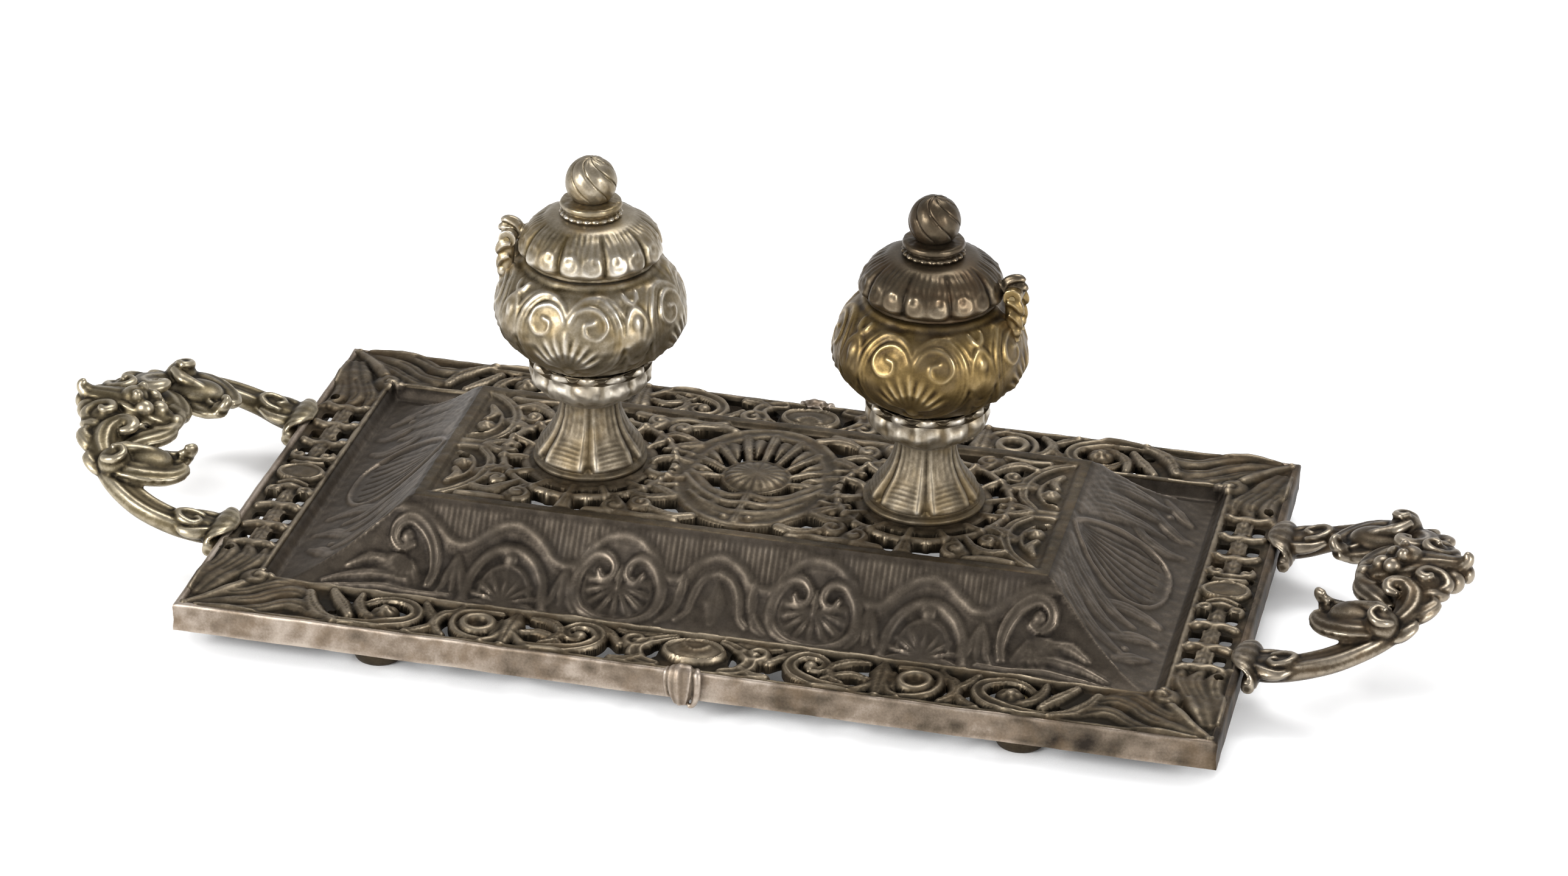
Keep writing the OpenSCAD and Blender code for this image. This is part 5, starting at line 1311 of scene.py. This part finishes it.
def palmette():
    """The middle lobe, turned up at its tip, with balls before and behind it and two small horns."""
    lobe = spray([(168.4, 0, 25.6), (174, 0, 28), (180, 0, 30.4), (186.6, 0, 31.6), (191.4, 0, 32),
                  (193.8, 0, 34.2), (193, 0, 36.2)], [3.2, 6, 5.8, 3.8, 3, 2, 0.7],
                 [2.6, 3.6, 3.4, 2.6, 2.2, 1.7, 0.7], 36, 11, 0.06)
    balls = [ball(*spot) for spot in (
        (194, 0, 29.6, 1.9, 2.6, 2.6), (178.4, 0, 32.4, 4, 3.6, 3.4), (174.4, 3.4, 31, 2.8, 2.4, 2.6),
        (174.4, -3.4, 31, 2.8, 2.4, 2.6), (171.4, 0, 29.6, 2.8, 2.6, 2.4))]
    horns = [spray([(177.2, y * 0.8, 33), (176.6, y, 34.8), (177.4, y * 1.1, 36)], [1.9, 1.6, 0.7],
                   [1.9, 1.6, 0.7], 12, up=(1, 0, 0), n=4) for y in (2.4, -2.4)]
    return [lobe, *balls, *horns, ball(166.6, 0, 26.6, 2.2, 2.4, 1.7)]


for side, material, bulge, base in (("left", OLIVE, 0.8, 0.45), ("right", BROWN, 0.0, 0.42)):
    parts = handle_half(1, bulge) + handle_half(-1, bulge) + palmette()
    sculpt(f"handle_{side}_leaves", parts, "stand", f"handle_{side}", material, 0.5,
           mirrored=side == "left", base=base)

# ---- The plain parts that come straight from model.glb ----

GLASS, tree = new_material("pressed_glass")
feed(tree, tree.nodes["Principled BSDF"], {
    "Base Color": (*rgb(214, 222, 220), 1), "Roughness": 0.18, "Transmission Weight": 0.6, "IOR": 1.5})

for name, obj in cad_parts.items():
    material = BRASS
    if "liner" in name:
        material = GLASS
    elif name.startswith("foot_") and "screw" not in name:
        material = FOOT
    obj.data.materials.clear()
    obj.data.materials.append(material)

# ---- Floor ----


def floor_material():
    """Pale, and white to the eye and in mirror images, but dark close under the tray, where an ambient
    occlusion mask takes its glow away: a painted shadow.
    """
    mat, tree = new_material("pale_floor")
    tree.nodes.clear()
    ray = tree.nodes.new("ShaderNodeLightPath").outputs
    seen = add_math(tree, "MAXIMUM", ray["Is Camera Ray"], ray["Is Glossy Ray"])
    seen = add_math(tree, "MAXIMUM", seen, ray["Is Transmission Ray"])
    near = add_node(tree, "AmbientOcclusion", {"Distance": 0.035}, "AO", samples=4)
    # painted shadow: the glow fades where ambient occlusion finds the tray close above the floor
    glow = add_math(tree, "MULTIPLY", seen, add_range(tree, near, 0.30, 0.55, 0.0, 0.42))
    white = add_node(tree, "Emission", {"Color": (1, 1, 1, 1), "Strength": glow})
    matt = add_node(tree, "BsdfDiffuse", {"Color": (0.86, 0.86, 0.86, 1)})
    out = tree.nodes.new("ShaderNodeOutputMaterial")
    feed(tree, out, {"Surface": add_node(tree, "AddShader", {0: matt, 1: white})})
    return mat


HALF_FLOOR = 10.0  # metres
mesh = bpy.data.meshes.new("floor")
mesh.from_pydata([(x * HALF_FLOOR, y * HALF_FLOOR, 0) for x, y in CORNERS], [], [(0, 1, 2, 3)])
mesh.materials.append(floor_material())
floor = bpy.data.objects.new("floor", mesh)
bpy.context.scene.collection.objects.link(floor)

# ---- Light ----

world = bpy.data.worlds.new("studio")
bpy.context.scene.world = world
world.use_nodes = True
tree = world.node_tree
direction = add_node(tree, "TexCoord", {}, "Generated")
height = add_node(tree, "SeparateXYZ", {0: direction}, "Z")
sky = add_ramp(tree, height, [(0.12, (0.92, 0.92, 0.93)), (0.60, (0.34, 0.34, 0.355))])
feed(tree, tree.nodes["Background"], {"Color": sky, "Strength": 1.0})


def outward(azimuth, elevation):
    """Unit vector from the object; azimuth 0 points to the front."""
    return Vector((math.sin(azimuth) * math.cos(elevation),
                   -math.cos(azimuth) * math.cos(elevation), math.sin(elevation)))


def softbox(name, azimuth, elevation, distance, size, power):
    """A soft lamp aimed at the object."""
    aim = Vector((0, 0, 0.05))
    lamp = bpy.data.lights.new(name, "AREA")
    lamp.shape = "RECTANGLE"
    lamp.size, lamp.size_y = size
    lamp.energy = power
    obj = bpy.data.objects.new(name, lamp)
    obj.location = aim + outward(math.radians(azimuth), math.radians(elevation)) * distance
    obj.rotation_euler = (aim - obj.location).to_track_quat("-Z", "Y").to_euler()
    bpy.context.scene.collection.objects.link(obj)


softbox("key_left", -40, 24, 1.1, (0.34, 0.34), 11)
softbox("key_right", 58, 20, 1.1, (0.30, 0.34), 7)
softbox("top", 170, 66, 1.3, (0.7, 0.5), 9)

# ---- Camera ----

SENSOR, FOCAL, WIDTH = 36.0, 8000, 2576  # sensor in mm; focal length and picture width in pixels

cam = bpy.data.cameras.new("camera")
cam.sensor_width = SENSOR
cam.lens = SENSOR * FOCAL / WIDTH
cam.clip_start = 0.05
camera = bpy.data.objects.new("camera", cam)
bpy.context.scene.collection.objects.link(camera)
azimuth, elevation, roll = math.radians(12.3987), math.radians(27.1945), math.radians(1.3515)
back = outward(azimuth, elevation)
right = Vector((math.cos(azimuth), math.sin(azimuth), 0))
up = back.cross(right)
right, up = (right * math.cos(roll) + up * math.sin(roll),
             up * math.cos(roll) - right * math.sin(roll))
place = Vector((0.25948, -1.14597, 0.64783))
camera.matrix_world = Matrix([(*axes, at) for *axes, at in zip(right, up, back, place)]
                             + [(0, 0, 0, 1)])
bpy.context.scene.camera = camera
bpy.context.scene.view_settings.view_transform = "Standard"
